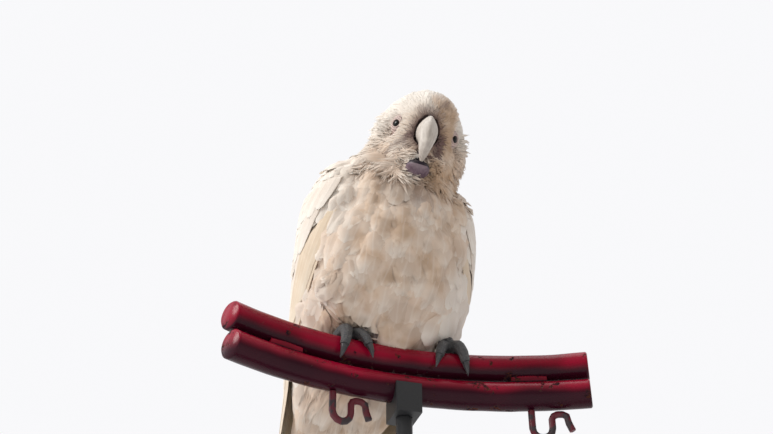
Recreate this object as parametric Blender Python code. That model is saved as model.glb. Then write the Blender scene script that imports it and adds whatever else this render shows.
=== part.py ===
"""Little corella (a small white cockatoo) perched on a short length of double steel rail.

Life size, in metres, +Z up. The origin is the centre of the stand's underside. The bird faces -Y,
and its left side is towards +X. Body, head and feet are each shaped in a frame of their own, in
millimetres: x to the bird's left, y to its back, z up along that part.
"""

import math

import bmesh
import bpy
from mathutils import Matrix, Vector

MM = 0.001
GAP = 0.35 * MM  # clearance left between neighbouring solids

# Stand and perch
PERCH_TOP = 0.380  # height of the upper rail's top over the floor
RAIL_RADIUS = 0.009
RING_RADIUS = 0.240  # the upper rail is part of a ring; the bird faces its centre
RAIL_PITCH = 0.020  # upper rail's centre to lower rail's centre
LOWER_RAIL_INSET = 0.003  # the lower rail bends a little tighter than the upper one
PERCH_HALF_ANGLE = math.radians(28)
BASE_RADIUS = 0.110
BASE_THICKNESS = 0.012
BASE_CENTRE_Y = 0.012  # perch centre line to base centre
ROD_RADIUS = 0.005

# Pose, in degrees
TRUNK_FORWARD = 22.7
TRUNK_SIDE = 8.2  # towards the bird's left, going up
HEAD_DOWN = 25.0
HEAD_TURN = -4.0
HEAD_ROLL = 10.0
VENT_PLACE = Vector((-24, 35, -5)) * MM  # from the perch's top centre
SKULL_PLACE = Vector((4.0, -34, 143.5)) * MM
FOOT_SPREAD = 0.033  # each foot from the middle between them
FEET_MIDDLE = -0.0025  # from the perch's middle, towards the bird's left

TRUNK_RING = 24  # points round the trunk, head and neck
TRUNK_ROWS = 15
WING_RING = 16

# Trunk with its coat, from the tips of the undertail coverts to the neck:
# height, sideways shift, backward shift, half width, depth in front, depth behind
TRUNK_STATIONS = [
    (-53, 0, 6, 12, 4, 5),
    (-42, 0, 4, 20, 10, 10),
    (-20, 0, 1, 31, 17, 18),
    (2, 3, 0, 40, 25, 27),
    (25, 6, 0, 46, 35, 33),
    (50, 7, 0, 50, 45, 37),
    (75, 5, 0, 50.5, 50, 39),
    (100, 2, 0, 48, 46, 38),
    (118, 1, 0, 43, 39, 35),
    (131, 1, -1, 37, 33, 31),
]
# What the folded wings wrap round: the trunk above, the rump and the tail below it
WRAP_STATIONS = [
    (-135, 0, 0, 18, 14, 15),
    (-110, 0, 0, 22, 16, 17),
    (-80, 0, 0, 27, 18, 20),
    (-50, 1, 0, 32, 20, 23),
    (-20, 2, 0, 36, 22, 26),
    (2, 3, 0, 41, 26, 29),
    (25, 6, 0, 46, 35, 33),
    (50, 7, 0, 50, 45, 37),
    (75, 5, 0, 50.5, 50, 39),
    (100, 2, 0, 48, 46, 38),
    (118, 1, 0, 44, 40, 36),
    (131, 1, -1, 40, 35, 33),
    (145, 1, -2, 37, 33, 31),
]
# Folded wing from its tip to the wrist: height, front edge and back edge as angles round the body
# (0 is the side, 90 the middle of the back), thickness
WING_STATIONS = [
    (-124, 47, 56, 1.6),
    (-116, 38, 66, 2.6),
    (-98, 28, 76, 3.4),
    (-74, 20, 82, 4.4),
    (-48, 14, 86, 5.4),
    (-22, 7, 88, 6.6),
    (2, -2, 88, 7.8),
    (26, -12, 88, 9.0),
    (50, -22, 88, 10.0),
    (74, -31, 86, 10.8),
    (96, -38, 78, 11.4),
    (112, -41, 66, 11.0),
    (124, -38, 50, 9.4),
    (132, -28, 32, 6.6),
    (137, -12, 12, 3.2),
]
WING_TOP = 137
WING_TIP = -124

WING_SPLIT = 14  # height where the flight feathers' blade leaves the coverts
# Head with its coat, from the face to the nape: distance behind the skull's centre, half width,
# height over the centre, depth under it
HEAD_STATIONS = [
    (-32.5, 6.5, 9, -21),
    (-30, 11.5, 15, -28),
    (-25, 17.5, 22, -36),
    (-16, 24.5, 28.5, -43),
    (-6, 29, 32, -45.5),
    (5, 31, 33, -43),
    (15, 29, 31, -36),
    (24, 22.5, 26, -25),
    (30, 14, 18, -14),
    (33.5, 5, 10, -5),
]
CROWN_POWER = 2.35  # over 2 squares the crown
CHEEK = 0.2  # how far the head's widest line lies under its middle
NECK_END = (0, 8, -6)  # in the skull
NECK_TWIST = 0.35  # how far the neck's rings turn from the trunk's lie towards the head's
EYE_RADIUS = 5.4
EYE_PLACE = (16.4, -17.5, 0.5)
ORBIT_RADIUS = 12.0  # sphere whose bottom is the bare dish round the eye
ORBIT_OUT = 28.6
# Upper bill from its base to its tip: the ridge line and the cutting edge, each behind and over the
# skull's centre, and the half width
BILL_UPPER_STATIONS = [
    (-25, 7.0, -24, -11.5, 6.8),
    (-31, 8.0, -29, -12.0, 7.1),
    (-38, 6.0, -34, -12.2, 7.0),
    (-44.5, 0.5, -38, -13.0, 6.4),
    (-48.5, -7.5, -40.2, -15.5, 5.2),
    (-49.3, -15.5, -41.4, -19.0, 3.7),
    (-47.3, -22.0, -42.2, -22.8, 2.2),
    (-44.6, -26.6, -43.2, -26.2, 0.7),
]
BILL_LOWER_STATIONS = [
    (-21, -14.2, -22, -26.5, 8.2),
    (-27, -14.4, -27, -27.6, 8.2),
    (-32, -15.4, -31.6, -26.6, 7.6),
    (-35.6, -17.0, -35.4, -24.0, 6.4),
    (-37.6, -18.6, -37.8, -21.2, 4.6),
]
BILL_OPEN = 7.2  # how far the lower bill hangs
TONGUE = [(-25, -17.4, 2.4), (-29, -17.6, 2.7), (-33, -18.2, 2.6), (-36, -18.8, 1.8)]
TAIL_STATIONS = [  # height, place behind the trunk's axis, half width, half thickness
    (-6, 9, 13, 2.6),
    (-35, 11, 17, 2.8),
    (-70, 11.5, 20, 2.4),
    (-105, 12, 23, 1.8),
    (-126, 12.5, 24, 1.3),
    (-133, 12.6, 20, 0.8),
]
CREST_STATIONS = [  # distance behind the skull's centre, height of its underside, half width, thickness
    (-2, 31.8, 3.5, 1.5),
    (8, 32.2, 7.0, 2.6),
    (18, 29.3, 8.0, 3.2),
    (28, 22.0, 7.0, 3.2),
    (36, 13.5, 5.0, 2.4),
    (41, 6.5, 2.0, 1.4),
]
HIPS = {"right": (-42, -10, 42), "left": (6, 2, 40)}  # from the perch's top centre
THIGH_RADII = (16.5, 18.5, 16.5, 12.5, 8.5)
THIGH_END = 14.5  # height of its lower end over the perch
TOES = {  # place along the rail, splay in degrees, wrap in degrees (front is positive), root and tip radius
    "2": (-0.38, -15, 82, 4.4, 2.9),
    "3": (0.34, 10, 98, 4.8, 3.0),
    "1": (-0.27, -17, -62, 4.0, 2.7),
    "4": (0.43, 13, -88, 4.5, 2.9),
}
TOE_APART = 9.0
HOOK_WIRE = 2.3  # net hooks: wire radius, then the sizes of their bends
HOOK_DROP = 12
HOOK_BIGHT = 6
HOOK_CURL = 5
HOOK_LIP = 3.2
CLAW_LENGTH = 8.5
TARSUS_RADIUS = 5.2
FOOT_POCKET = 20.1  # the belly's coat parts this far round the upper rail's centre line at the right foot
FOOT_POCKET_HALF = math.radians(3.3)

COLOURS = {  # base colour, roughness, metallic
    "plumage": ((0.80, 0.72, 0.63), 0.85, 0.0),
    "flight_feather": ((0.84, 0.79, 0.70), 0.75, 0.0),
    "bill_horn": ((0.62, 0.58, 0.53), 0.35, 0.0),
    "tongue": ((0.05, 0.03, 0.05), 0.4, 0.0),
    "eye": ((0.02, 0.015, 0.012), 0.08, 0.0),
    "foot_skin": ((0.16, 0.16, 0.17), 0.65, 0.0),
    "claw_horn": ((0.06, 0.055, 0.055), 0.4, 0.0),
    "rail_paint": ((0.42, 0.02, 0.05), 0.4, 0.0),
    "hook_steel": ((0.09, 0.04, 0.07), 0.5, 0.6),
    "stand_steel": ((0.03, 0.03, 0.032), 0.5, 0.4),
}


def clear_scene():
    for old in list(bpy.data.objects):
        bpy.data.objects.remove(old, do_unlink=True)


def material(name):
    found = bpy.data.materials.get(name)
    if found:
        return found
    colour, roughness, metallic = COLOURS[name]
    made = bpy.data.materials.new(name)
    made.use_nodes = True
    shader = made.node_tree.nodes["Principled BSDF"]
    shader.inputs["Base Color"].default_value = (*colour, 1)
    shader.inputs["Roughness"].default_value = roughness
    shader.inputs["Metallic"].default_value = metallic
    return made


# Frames: the bird's parts are posed by these


def posed(place, turn=0.0, side=0.0, forward=0.0):
    """A frame at a place over the perch, leant forward, then sideways, then turned."""
    turned = (
        Matrix.Rotation(math.radians(turn), 4, "Z")
        @ Matrix.Rotation(math.radians(side), 4, "Y")
        @ Matrix.Rotation(math.radians(forward), 4, "X")
    )
    return Matrix.Translation(Vector((0, -BASE_CENTRE_Y, PERCH_TOP)) + Vector(place)) @ turned


def ring_point(angle, radius, height):
    """A point of the ring that the rails belong to; angle 0 is the middle of the perch."""
    return Vector(
        (radius * math.sin(angle), radius * math.cos(angle) - RING_RADIUS - BASE_CENTRE_Y, height)
    )


TRUNK = posed(VENT_PLACE, side=TRUNK_SIDE, forward=TRUNK_FORWARD)
HEAD = posed(SKULL_PLACE, turn=HEAD_TURN, side=HEAD_ROLL, forward=HEAD_DOWN)


# Shapes


def row_between(stations, i, t):
    """Catmull-Rom's row a share t of the way from station i to the next one."""
    last = len(stations) - 1
    a, b = stations[max(i - 1, 0)], stations[i]
    c, d = stations[i + 1], stations[min(i + 2, last)]
    return tuple(
        0.5
        * (
            2 * q
            + (r - p) * t
            + (2 * p - 5 * q + 4 * r - s) * t * t
            + (3 * q - p - 3 * r + s) * t**3
        )
        for p, q, r, s in zip(a, b, c, d)
    )


def eased(stations, count):
    """That many rows along the stations, closer together where the stations are."""
    last = len(stations) - 1
    rows = []
    for k in range(count):
        along = k * last / (count - 1)
        i = min(int(along), last - 1)
        rows.append(row_between(stations, i, along - i))
    return rows


def row_at(stations, height):
    """The row at one height, without the height itself."""
    for i in range(len(stations) - 1):
        low, high = stations[i][0], stations[i + 1][0]
        if height <= high or i == len(stations) - 2:
            return row_between(stations, i, (height - low) / (high - low))[1:]
    return stations[-1][1:]


def even(low, high, count):
    return [low + (high - low) * k / (count - 1) for k in range(count)]


def new_object(name, mesh, paint):
    obj = bpy.data.objects.new(name, mesh)
    bpy.context.scene.collection.objects.link(obj)
    mesh.materials.append(material(paint))
    mesh.shade_smooth()
    mesh.set_sharp_from_angle(angle=math.radians(50))
    return obj


def loft(name, rings, paint):
    """A closed solid through rings of equally many points, capped at both ends."""
    work = bmesh.new()
    loops = [[work.verts.new(point) for point in ring] for ring in rings]
    for low, high in zip(loops, loops[1:]):
        for i in range(len(low)):
            j = (i + 1) % len(low)
            work.faces.new((low[i], low[j], high[j], high[i]))
    work.faces.new(loops[0][::-1])
    work.faces.new(loops[-1])
    bmesh.ops.recalc_face_normals(work, faces=work.faces)
    mesh = bpy.data.meshes.new(name)
    work.to_mesh(mesh)
    work.free()
    return new_object(name, mesh, paint)


def oval(x0, y0, half_width, front, back, z, power=2.0, count=TRUNK_RING, grow=0.0):
    """One level ring of the trunk, in its frame: points from the left side round by the back."""
    points = []
    for k in range(count):
        angle = 2 * math.pi * k / count
        c, s = math.cos(angle), math.sin(angle)
        reach = (abs(c) ** power + abs(s) ** power) ** (-1 / power)
        depth = (back if s > 0 else front) + grow
        points.append(Vector((x0 + (half_width + grow) * c * reach, y0 + depth * s * reach, z)))
    return points


def placed(frame, points):
    return [frame @ (point * MM) for point in points]


def cut(target, *cutters):
    """Takes each cutter out of the target; a cutter is a helper, so it isn't kept as a node."""
    for cutter in cutters:
        cutter.hide_render = True
        cutter.display_type = "WIRE"
        boolean = target.modifiers.new("cut " + cutter.name, "BOOLEAN")
        boolean.operation = "DIFFERENCE"
        boolean.solver = "EXACT"
        boolean.object = cutter


def join(target, *others):
    for other in others:
        other.hide_render = True
        other.display_type = "WIRE"
        boolean = target.modifiers.new("join " + other.name, "BOOLEAN")
        boolean.operation = "UNION"
        boolean.solver = "EXACT"
        boolean.object = other


def ball(name, centre, radius, paint, segments=20, rings=12):
    work = bmesh.new()
    bmesh.ops.create_uvsphere(work, u_segments=segments, v_segments=rings, radius=radius)
    bmesh.ops.translate(work, verts=work.verts, vec=centre)
    mesh = bpy.data.meshes.new(name)
    work.to_mesh(mesh)
    work.free()
    return new_object(name, mesh, paint)


def tube(name, points, radii, paint, sides=10, twist=0.0):
    """A closed round tube along points, with a radius at each."""
    rings = []
    side = None
    for i, point in enumerate(points):
        ahead = points[min(i + 1, len(points) - 1)] - points[max(i - 1, 0)]
        ahead.normalize()
        if side is None:
            side = ahead.orthogonal().normalized()
        side = (side - ahead * side.dot(ahead)).normalized()
        other = ahead.cross(side)
        rings.append(
            [
                point + (side * math.cos(a) + other * math.sin(a)) * radii[i]
                for a in (twist + 2 * math.pi * k / sides for k in range(sides))
            ]
        )
    return loft(name, rings, paint)


# The bird


def trunk_solid(name="trunk", grow=0.0):
    bottom, top = TRUNK_STATIONS[0][0], TRUNK_STATIONS[-1][0]
    rings = []
    for height in even(bottom, top, TRUNK_ROWS):
        x0, y0, half_width, front, back = row_at(TRUNK_STATIONS, height)
        z = height - grow if height == bottom else height + grow if height == top else height
        rings.append(placed(TRUNK, oval(x0, y0, half_width, front, back, z, 2.15, grow=grow)))
    return loft(name, rings, "plumage")


def head_ring(y, half_width, top, bottom, grow=0.0):
    points = []
    for k in range(TRUNK_RING):
        angle = 2 * math.pi * k / TRUNK_RING
        c, s = math.cos(angle), math.sin(angle)
        power = CROWN_POWER if s > 0 else 2.0
        reach = (abs(c) ** power + abs(s) ** power) ** (-1 / power)
        height = (top + grow) * s * reach if s > 0 else (grow - bottom) * s
        points.append(Vector(((half_width + grow) * c * reach * (1 - CHEEK * s), y, height)))
    return points


def head_solid(name="head", grow=0.0):
    rows = eased(HEAD_STATIONS, 14)
    rings = []
    for i, (y, half_width, top, bottom) in enumerate(rows):
        if i == 0:
            y -= grow
        elif i == len(rows) - 1:
            y += grow
        rings.append(placed(HEAD, head_ring(y, half_width, top, bottom, grow)))
    return loft(name, rings, "plumage")


def neck_solid():
    """Runs from the trunk's top into the skull, so that cutting it by the head leaves a collar."""
    start = TRUNK @ (Vector((0, -1, TRUNK_STATIONS[-1][0])) * MM + Vector((0, 0, GAP)))
    end = HEAD @ (Vector(NECK_END) * MM)
    rings = []
    for t in even(0, 1, 7):
        spin = TRUNK.to_quaternion().slerp(HEAD.to_quaternion(), NECK_TWIST * t)
        half_width = 38 - 11.5 * t + 1.5 * math.sin(math.pi * t)
        front = 33 - 13 * (1 - (1 - t) ** 3)
        back = 31 - 5 * t + 2.0 * math.sin(math.pi * t)
        centre = start.lerp(end, t)
        ring = oval(0, 0, half_width, front, back, 0, 2.15 - 0.15 * t)
        rings.append([centre + spin @ (point * MM) for point in ring])
    return loft("neck", rings, "plumage")


def wing_solid(side, name, z_low, z_high, steps):
    """Part of a folded wing between two heights: a curved blade round the body."""
    rings = []
    for z in even(z_low, z_high, steps):
        first, last, thick = row_at(WING_STATIONS, z)
        x0, y0, half_width, front, back = row_at(WRAP_STATIONS, z)
        power = 2.15 if z > 0 else 2.6
        outer, inner = [], []
        half = WING_RING // 2
        for j in range(half):
            share = j / (half - 1)
            angle = math.radians(first + (last - first) * share)
            c, s = math.cos(angle), math.sin(angle)
            reach = (abs(c) ** power + abs(s) ** power) ** (-1 / power)
            depth = back if s > 0 else front
            edge = max(math.sin(math.pi * share), 0.0) ** 0.6
            inside = 1.1
            outside = inside + 0.9 + (thick - 0.9) * edge
            for swell, into in ((inside, inner), (outside, outer)):
                into.append(
                    Vector(
                        (
                            side * (half_width + swell) * c * reach + x0,
                            y0 + (depth + swell) * s * reach,
                            z,
                        )
                    )
                )
        rings.append(placed(TRUNK, outer + inner[::-1]))
    return loft(name, rings, "flight_feather")


def tail_solid(name="tail", grow=0.0):
    rings = []
    for z, y0, half_width, half_thick in eased(TAIL_STATIONS, 10):
        ring = oval(0, y0, half_width, half_thick, half_thick, z, 2.8, 14, grow)
        rings.append(placed(TRUNK, ring))
    return loft(name, rings, "flight_feather")


def crest_solid():
    rings = []
    for y, under, half_width, thick in eased(CREST_STATIONS, 9):
        ring = []
        for k in range(12):
            angle = 2 * math.pi * k / 12
            c, s = math.cos(angle), math.sin(angle)
            drop = 0.028 * (half_width * c) ** 2
            ring.append(Vector((half_width * c, y, under + thick * (1 + s) / 2 - drop)))
        rings.append(placed(HEAD, ring))
    return loft("crest", rings, "plumage")


def bill_solid(name, stations, count, drop=0.0, grow=0.0, round_top=1.0):
    """A bill half: each ring joins the ridge to the cutting edge across the bill's middle plane."""
    rings = []
    for ridge_y, ridge_z, edge_y, edge_z, half_width in eased(stations, count):
        ridge = Vector((0, ridge_y, ridge_z - drop))
        edge = Vector((0, edge_y, edge_z - drop))
        middle = (ridge + edge) / 2
        reach = (ridge - edge) / 2
        reach += reach.normalized() * grow
        ring = []
        for k in range(12):
            angle = 2 * math.pi * k / 12
            c, s = math.cos(angle), math.sin(angle)
            width = (half_width + grow) * c * (1 - 0.16 * round_top * s)
            ring.append(middle + reach * s + Vector((width, 0, 0)))
        rings.append(placed(HEAD, ring))
    return loft(name, rings, "bill_horn")


def tongue_solid(name="tongue", grow=0.0):
    points = [HEAD @ (Vector((0, y, z)) * MM) for y, z, _ in TONGUE]
    return tube(name, points, [(radius + grow) * MM for _, _, radius in TONGUE], "tongue", 8)


def eye_solid(side, name, grow=0.0):
    x, y, z = EYE_PLACE
    centre = HEAD @ (Vector((side * x, y, z)) * MM)
    return ball(name, centre, (EYE_RADIUS + grow) * MM, "eye", 14, 8)


def orbit_cutter(side):
    _, y, z = EYE_PLACE
    centre = HEAD @ (Vector((side * ORBIT_OUT, y - 1.5, z)) * MM)
    return ball(f"orbit_{side}", centre, ORBIT_RADIUS * MM, "plumage", 14, 8)


# Legs and feet


def foot_frame(side):
    """At the upper rail's centre line under a foot: x along the rail, y outwards, z up."""
    angle = (FEET_MIDDLE + side * FOOT_SPREAD) / RING_RADIUS
    place = ring_point(angle, RING_RADIUS, PERCH_TOP - RAIL_RADIUS)
    return Matrix.Translation(place) @ Matrix.Rotation(-angle, 4, "Z")


def toe_path(side, toe, start, end, steps):
    """Points and radii of a toe that wraps the rail, between two distances along it."""
    apart, splay, wrap, root, tip = TOES[toe]
    frame = foot_frame(side)
    direction = -1 if wrap > 0 else 1
    reach = RAIL_RADIUS / MM + root + 0.5
    length = math.radians(abs(wrap)) * reach
    points, radii = [], []
    for k in range(steps):
        along = start + (end - start) * k / (steps - 1)
        share = along / length
        radius = root + (tip - root) * min(max(share, 0.0), 1.0) ** 0.8
        radius += 0.28 * math.sin(share * 3 * 2 * math.pi) if 0 < share < 1 else 0
        bend = along / reach
        out = RAIL_RADIUS / MM + radius + 0.45
        x = side * (apart * TOE_APART + math.tan(math.radians(splay)) * max(along, 0))
        point = Vector((x, direction * out * math.sin(bend), out * math.cos(bend)))
        points.append(frame @ (point * MM))
        radii.append(radius * MM)
    return points, radii, length


def tarsus_line(side, shares):
    """Points of the tarsus, by their share of the way from its foot to the ankle."""
    foot = foot_frame(side) @ Vector((0, 0, RAIL_RADIUS + 1.4 * MM))
    return [foot.lerp(ankle_place(side), share) for share in shares]


def foot_solid(side, name):
    points = tarsus_line(side, (0, 0.25, 0.5, 0.75, 1.0))
    radii = [r * MM for r in (5.2, 5.8, TARSUS_RADIUS, 4.9, 5.0)]
    foot = tube(name, points, radii, "foot_skin", 10)
    for i, toe in enumerate(TOES):
        _, _, length = toe_path(side, toe, 0, 1, 2)
        points, radii, _ = toe_path(side, toe, -2.6 - 0.4 * i, length, 8)
        join(foot, tube(f"{name}_toe_{toe}", points, radii, "foot_skin", 7, 0.2 + 0.13 * i))
    return foot


def claw_solid(side, toe, name):
    """A claw that carries the toe's curve on, narrowing to its point."""
    _, _, wrap, _, tip = TOES[toe]
    frame = foot_frame(side)
    points, radii, length = toe_path(side, toe, 0, 1, 2)
    points, _, _ = toe_path(side, toe, length + 0.4, length + 2.4, 3)
    start = frame.inverted() @ points[0]
    ahead = (frame.inverted() @ points[2] - start).normalized()
    inward = Vector((0, -start.y, -start.z)).normalized()
    path, sizes = [], []
    for k in range(5):
        t = k / 4
        travel = CLAW_LENGTH * MM * t
        dip = (0.35 * math.sin(math.pi * t) - 0.16 * t * t) * 2.2 * MM
        path.append(frame @ (start + ahead * travel - inward * dip))
        sizes.append((tip - 0.7) * MM * (1 - t) ** 0.75 + 0.25 * MM)
    return tube(name, path, sizes, "claw_horn", 6)


def ankle_place(side):
    x, z = (-1.0, 7.4) if side < 0 else (-2.0, 10.5)
    x += (FEET_MIDDLE + side * FOOT_SPREAD) / MM
    return Vector((x, -1 - BASE_CENTRE_Y / MM, PERCH_TOP / MM + z)) * MM


def thigh_solid(side, name):
    """The feathered leg, from inside the flank to the ankle."""
    hip = posed(Vector(HIPS[name.split("_")[1]]) * MM).translation
    end = ankle_place(side)
    end += Vector((0, -2.5 * MM, PERCH_TOP + THIGH_END * MM - end.z))
    points = [hip.lerp(end, t) for t in (0.0, 0.25, 0.5, 0.75, 1.0)]
    rows = eased([(*p, r * MM) for p, r in zip(points, THIGH_RADII)], 10)
    return tube(name, [Vector(row[:3]) for row in rows], [row[3] for row in rows], "plumage", 16)


# Perch and stand


def rail_solid(
    name,
    ring_radius,
    height,
    radius=RAIL_RADIUS,
    half_angle=PERCH_HALF_ANGLE,
    middle=0.0,
    steps=12,
):
    """A round bar bent to the ring's curve: a disc spun round the ring's centre."""
    work = bmesh.new()
    bmesh.ops.create_circle(work, cap_ends=True, segments=12, radius=radius)
    start = ring_point(middle - half_angle, ring_radius, height)
    lay = (
        Matrix.Translation(start)
        @ Matrix.Rotation(half_angle - middle, 4, "Z")
        @ Matrix.Rotation(math.pi / 2, 4, "Y")
    )
    bmesh.ops.transform(work, matrix=lay, verts=work.verts)
    bmesh.ops.spin(
        work,
        geom=work.verts[:] + work.edges[:] + work.faces[:],
        cent=ring_point(0, 0, height),
        axis=(0, 0, 1),
        angle=-2 * half_angle,
        steps=steps,
        use_duplicate=False,
    )
    bmesh.ops.remove_doubles(work, verts=work.verts, dist=1e-6)
    bmesh.ops.recalc_face_normals(work, faces=work.faces)
    mesh = bpy.data.meshes.new(name)
    work.to_mesh(mesh)
    work.free()
    return new_object(name, mesh, "rail_paint")


def block(name, centre, size, turn, paint):
    work = bmesh.new()
    bmesh.ops.create_cube(work, size=1.0)
    bmesh.ops.scale(work, vec=size, verts=work.verts)
    bmesh.ops.rotate(work, verts=work.verts, matrix=Matrix.Rotation(turn, 3, "Z"))
    bmesh.ops.translate(work, verts=work.verts, vec=centre)
    mesh = bpy.data.meshes.new(name)
    work.to_mesh(mesh)
    work.free()
    return new_object(name, mesh, paint)


def hook_solid(name, angle):
    """A net hook of bent wire under the lower rail: down, round a bight, up, over and down."""
    route = [(0, 0), (0, -HOOK_DROP)]
    for angle_round in even(math.pi / 6, math.pi, 6):
        low = -HOOK_DROP - HOOK_BIGHT * math.sin(angle_round)
        route.append((HOOK_BIGHT * (1 - math.cos(angle_round)), low))
    across = 2 * HOOK_BIGHT
    for angle_round in even(0, math.pi * 0.8, 5):
        high = HOOK_LIP * math.sin(angle_round) - HOOK_DROP / 2
        route.append((across + HOOK_CURL * (1 - math.cos(angle_round)), high))
    route += [(across + 2 * HOOK_CURL, -9), (across + 2.4 * HOOK_CURL, -14)]
    top = ring_point(
        angle, RING_RADIUS - LOWER_RAIL_INSET, lower_rail_height() - RAIL_RADIUS - GAP
    )
    frame = Matrix.Translation(top) @ Matrix.Rotation(-angle, 4, "Z")
    points = [frame @ (Vector((x, 0, z)) * MM) for x, z in route]
    return tube(name, points, [HOOK_WIRE * MM] * len(points), "hook_steel", 6)


def lower_rail_height():
    return PERCH_TOP - RAIL_RADIUS - RAIL_PITCH


def make_perch():
    upper_z = PERCH_TOP - RAIL_RADIUS
    lower_z = lower_rail_height()
    lower_radius = RING_RADIUS - LOWER_RAIL_INSET
    rail_solid("perch_rail_upper", RING_RADIUS, upper_z)
    rail_solid("perch_rail_lower", lower_radius, lower_z)
    grown = RAIL_RADIUS + GAP
    for name, angle in (("perch_weld_right", -19.0), ("perch_weld_left", 19.0)):
        middle = ring_point(
            math.radians(angle), RING_RADIUS - LOWER_RAIL_INSET / 2, (upper_z + lower_z) / 2
        )
        weld = block(name, middle, (0.022, 0.009, 0.010), -math.radians(angle), "rail_paint")
        wide = PERCH_HALF_ANGLE * 1.02
        cut(
            weld,
            rail_solid(name + "_upper_cutter", RING_RADIUS, upper_z, grown, wide),
            rail_solid(name + "_lower_cutter", lower_radius, lower_z, grown, wide),
        )
    hook_solid("perch_hook_right", math.radians(-11))
    hook_solid("perch_hook_left", math.radians(19))


def turned(name, outline, centre, paint, steps):
    """A solid of revolution: the outline's radius and height pairs run up its outer side."""
    rings = []
    for radius, height in outline:
        rings.append(
            [
                Vector((centre.x + radius * math.cos(a), centre.y + radius * math.sin(a), height))
                for a in (2 * math.pi * k / steps for k in range(steps))
            ]
        )
    return loft(name, rings, paint)


def make_stand():
    edge = 0.0015
    turned(
        "stand_base",
        [
            (BASE_RADIUS, 0.0),
            (BASE_RADIUS, BASE_THICKNESS - edge),
            (BASE_RADIUS - edge, BASE_THICKNESS),
        ],
        Vector((0, 0, 0)),
        "stand_steel",
        40,
    )
    under = ring_point(0, RING_RADIUS - LOWER_RAIL_INSET, 0)
    saddle_bottom = lower_rail_height() - RAIL_RADIUS - 0.010
    turned(
        "stand_collar",
        [
            (0.017, BASE_THICKNESS + GAP),
            (0.017, BASE_THICKNESS + 0.005),
            (0.012, BASE_THICKNESS + 0.011),
            (0.009, BASE_THICKNESS + 0.012),
        ],
        under,
        "stand_steel",
        20,
    )
    turned(
        "stand_rod",
        [(ROD_RADIUS, BASE_THICKNESS + 0.012 + GAP), (ROD_RADIUS, saddle_bottom - GAP)],
        under,
        "stand_steel",
        20,
    )
    saddle = block(
        "stand_saddle",
        Vector((under.x, under.y, saddle_bottom + 0.0095)),
        (0.016, 0.022, 0.019),
        0.0,
        "stand_steel",
    )
    cut(
        saddle,
        rail_solid(
            "saddle_cutter",
            RING_RADIUS - LOWER_RAIL_INSET,
            lower_rail_height(),
            RAIL_RADIUS + GAP,
            math.radians(7),
        ),
    )


def bill_upper_solid(name="bill_upper", grow=0.0):
    return bill_solid(name, BILL_UPPER_STATIONS, 14, grow=grow)


def bill_lower_solid(name="bill_lower", grow=0.0):
    return bill_solid(name, BILL_LOWER_STATIONS, 9, BILL_OPEN, grow, -0.6)


def make_foot_spaces():
    """Cutters for the upper rail, which the belly rests on, and for the right foot's hollow."""
    rail_z = PERCH_TOP - RAIL_RADIUS
    right_foot = (FEET_MIDDLE - FOOT_SPREAD) / RING_RADIUS
    return (
        rail_solid(
            "foot_cutter", RING_RADIUS, rail_z, FOOT_POCKET * MM, FOOT_POCKET_HALF, right_foot, 3
        ),
        rail_solid("rail_cutter", RING_RADIUS, rail_z, RAIL_RADIUS + 1.0 * MM),
    )


def make_bird():
    grow = GAP / MM
    head_cutter = head_solid("head_cutter", grow)
    trunk_cutter = trunk_solid("trunk_cutter", grow)
    upper_cutter = bill_upper_solid("bill_upper_cutter", grow)
    lower_cutter = bill_lower_solid("bill_lower_cutter", grow)
    tail_cutter = tail_solid("tail_cutter", grow)
    cut(trunk_solid(), *make_foot_spaces(), head_cutter, lower_cutter)
    cut(neck_solid(), head_cutter, lower_cutter)
    cut(crest_solid(), head_cutter)
    cut(tail_solid(), trunk_cutter)
    head = head_solid()
    cut(head, upper_cutter, lower_cutter, tongue_solid("tongue_cutter", grow))
    bill_upper_solid()
    cut(bill_lower_solid(), upper_cutter)
    tongue_solid()
    for name, side in (("right", -1), ("left", 1)):
        eye_solid(side, f"eye_{name}")
        cut(head, orbit_cutter(side), eye_solid(side, f"eye_{name}_cutter", grow))
        wing_solid(side, f"wing_{name}", WING_SPLIT, WING_TOP, 13)
        blade = wing_solid(side, f"flight_feathers_{name}", WING_TIP, WING_SPLIT - grow, 12)
        cut(blade, trunk_cutter, tail_cutter)
        cut(thigh_solid(side, f"thigh_{name}"), trunk_cutter)
        foot_solid(side, f"foot_{name}")
        for toe in sorted(TOES):
            claw_solid(side, toe, f"claw_{name}_{toe}")


clear_scene()
make_stand()
make_perch()
make_bird()
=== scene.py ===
import math
import random
from functools import partial

import bmesh
import bpy
import numpy as np
from mathutils import Matrix, Vector
from mathutils.bvhtree import BVHTree


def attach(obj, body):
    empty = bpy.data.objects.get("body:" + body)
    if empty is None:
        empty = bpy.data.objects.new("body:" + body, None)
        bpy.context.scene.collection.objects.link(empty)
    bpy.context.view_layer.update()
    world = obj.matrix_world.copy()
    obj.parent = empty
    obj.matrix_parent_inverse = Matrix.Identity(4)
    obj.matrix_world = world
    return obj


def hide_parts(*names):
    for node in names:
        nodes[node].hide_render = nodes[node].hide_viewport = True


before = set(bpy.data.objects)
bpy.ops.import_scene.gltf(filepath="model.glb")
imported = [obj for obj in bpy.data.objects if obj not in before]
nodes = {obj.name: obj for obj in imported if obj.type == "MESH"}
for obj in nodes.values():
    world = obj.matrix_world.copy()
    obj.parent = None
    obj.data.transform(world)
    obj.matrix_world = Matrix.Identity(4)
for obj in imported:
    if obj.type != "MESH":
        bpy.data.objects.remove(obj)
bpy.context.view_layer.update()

scene = bpy.context.scene
mm = 0.001
sides = {"right": -1, "left": 1}
perchTop = Vector((0, -0.012, 0.380))  # top of the upper rail, where the bird stands


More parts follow.
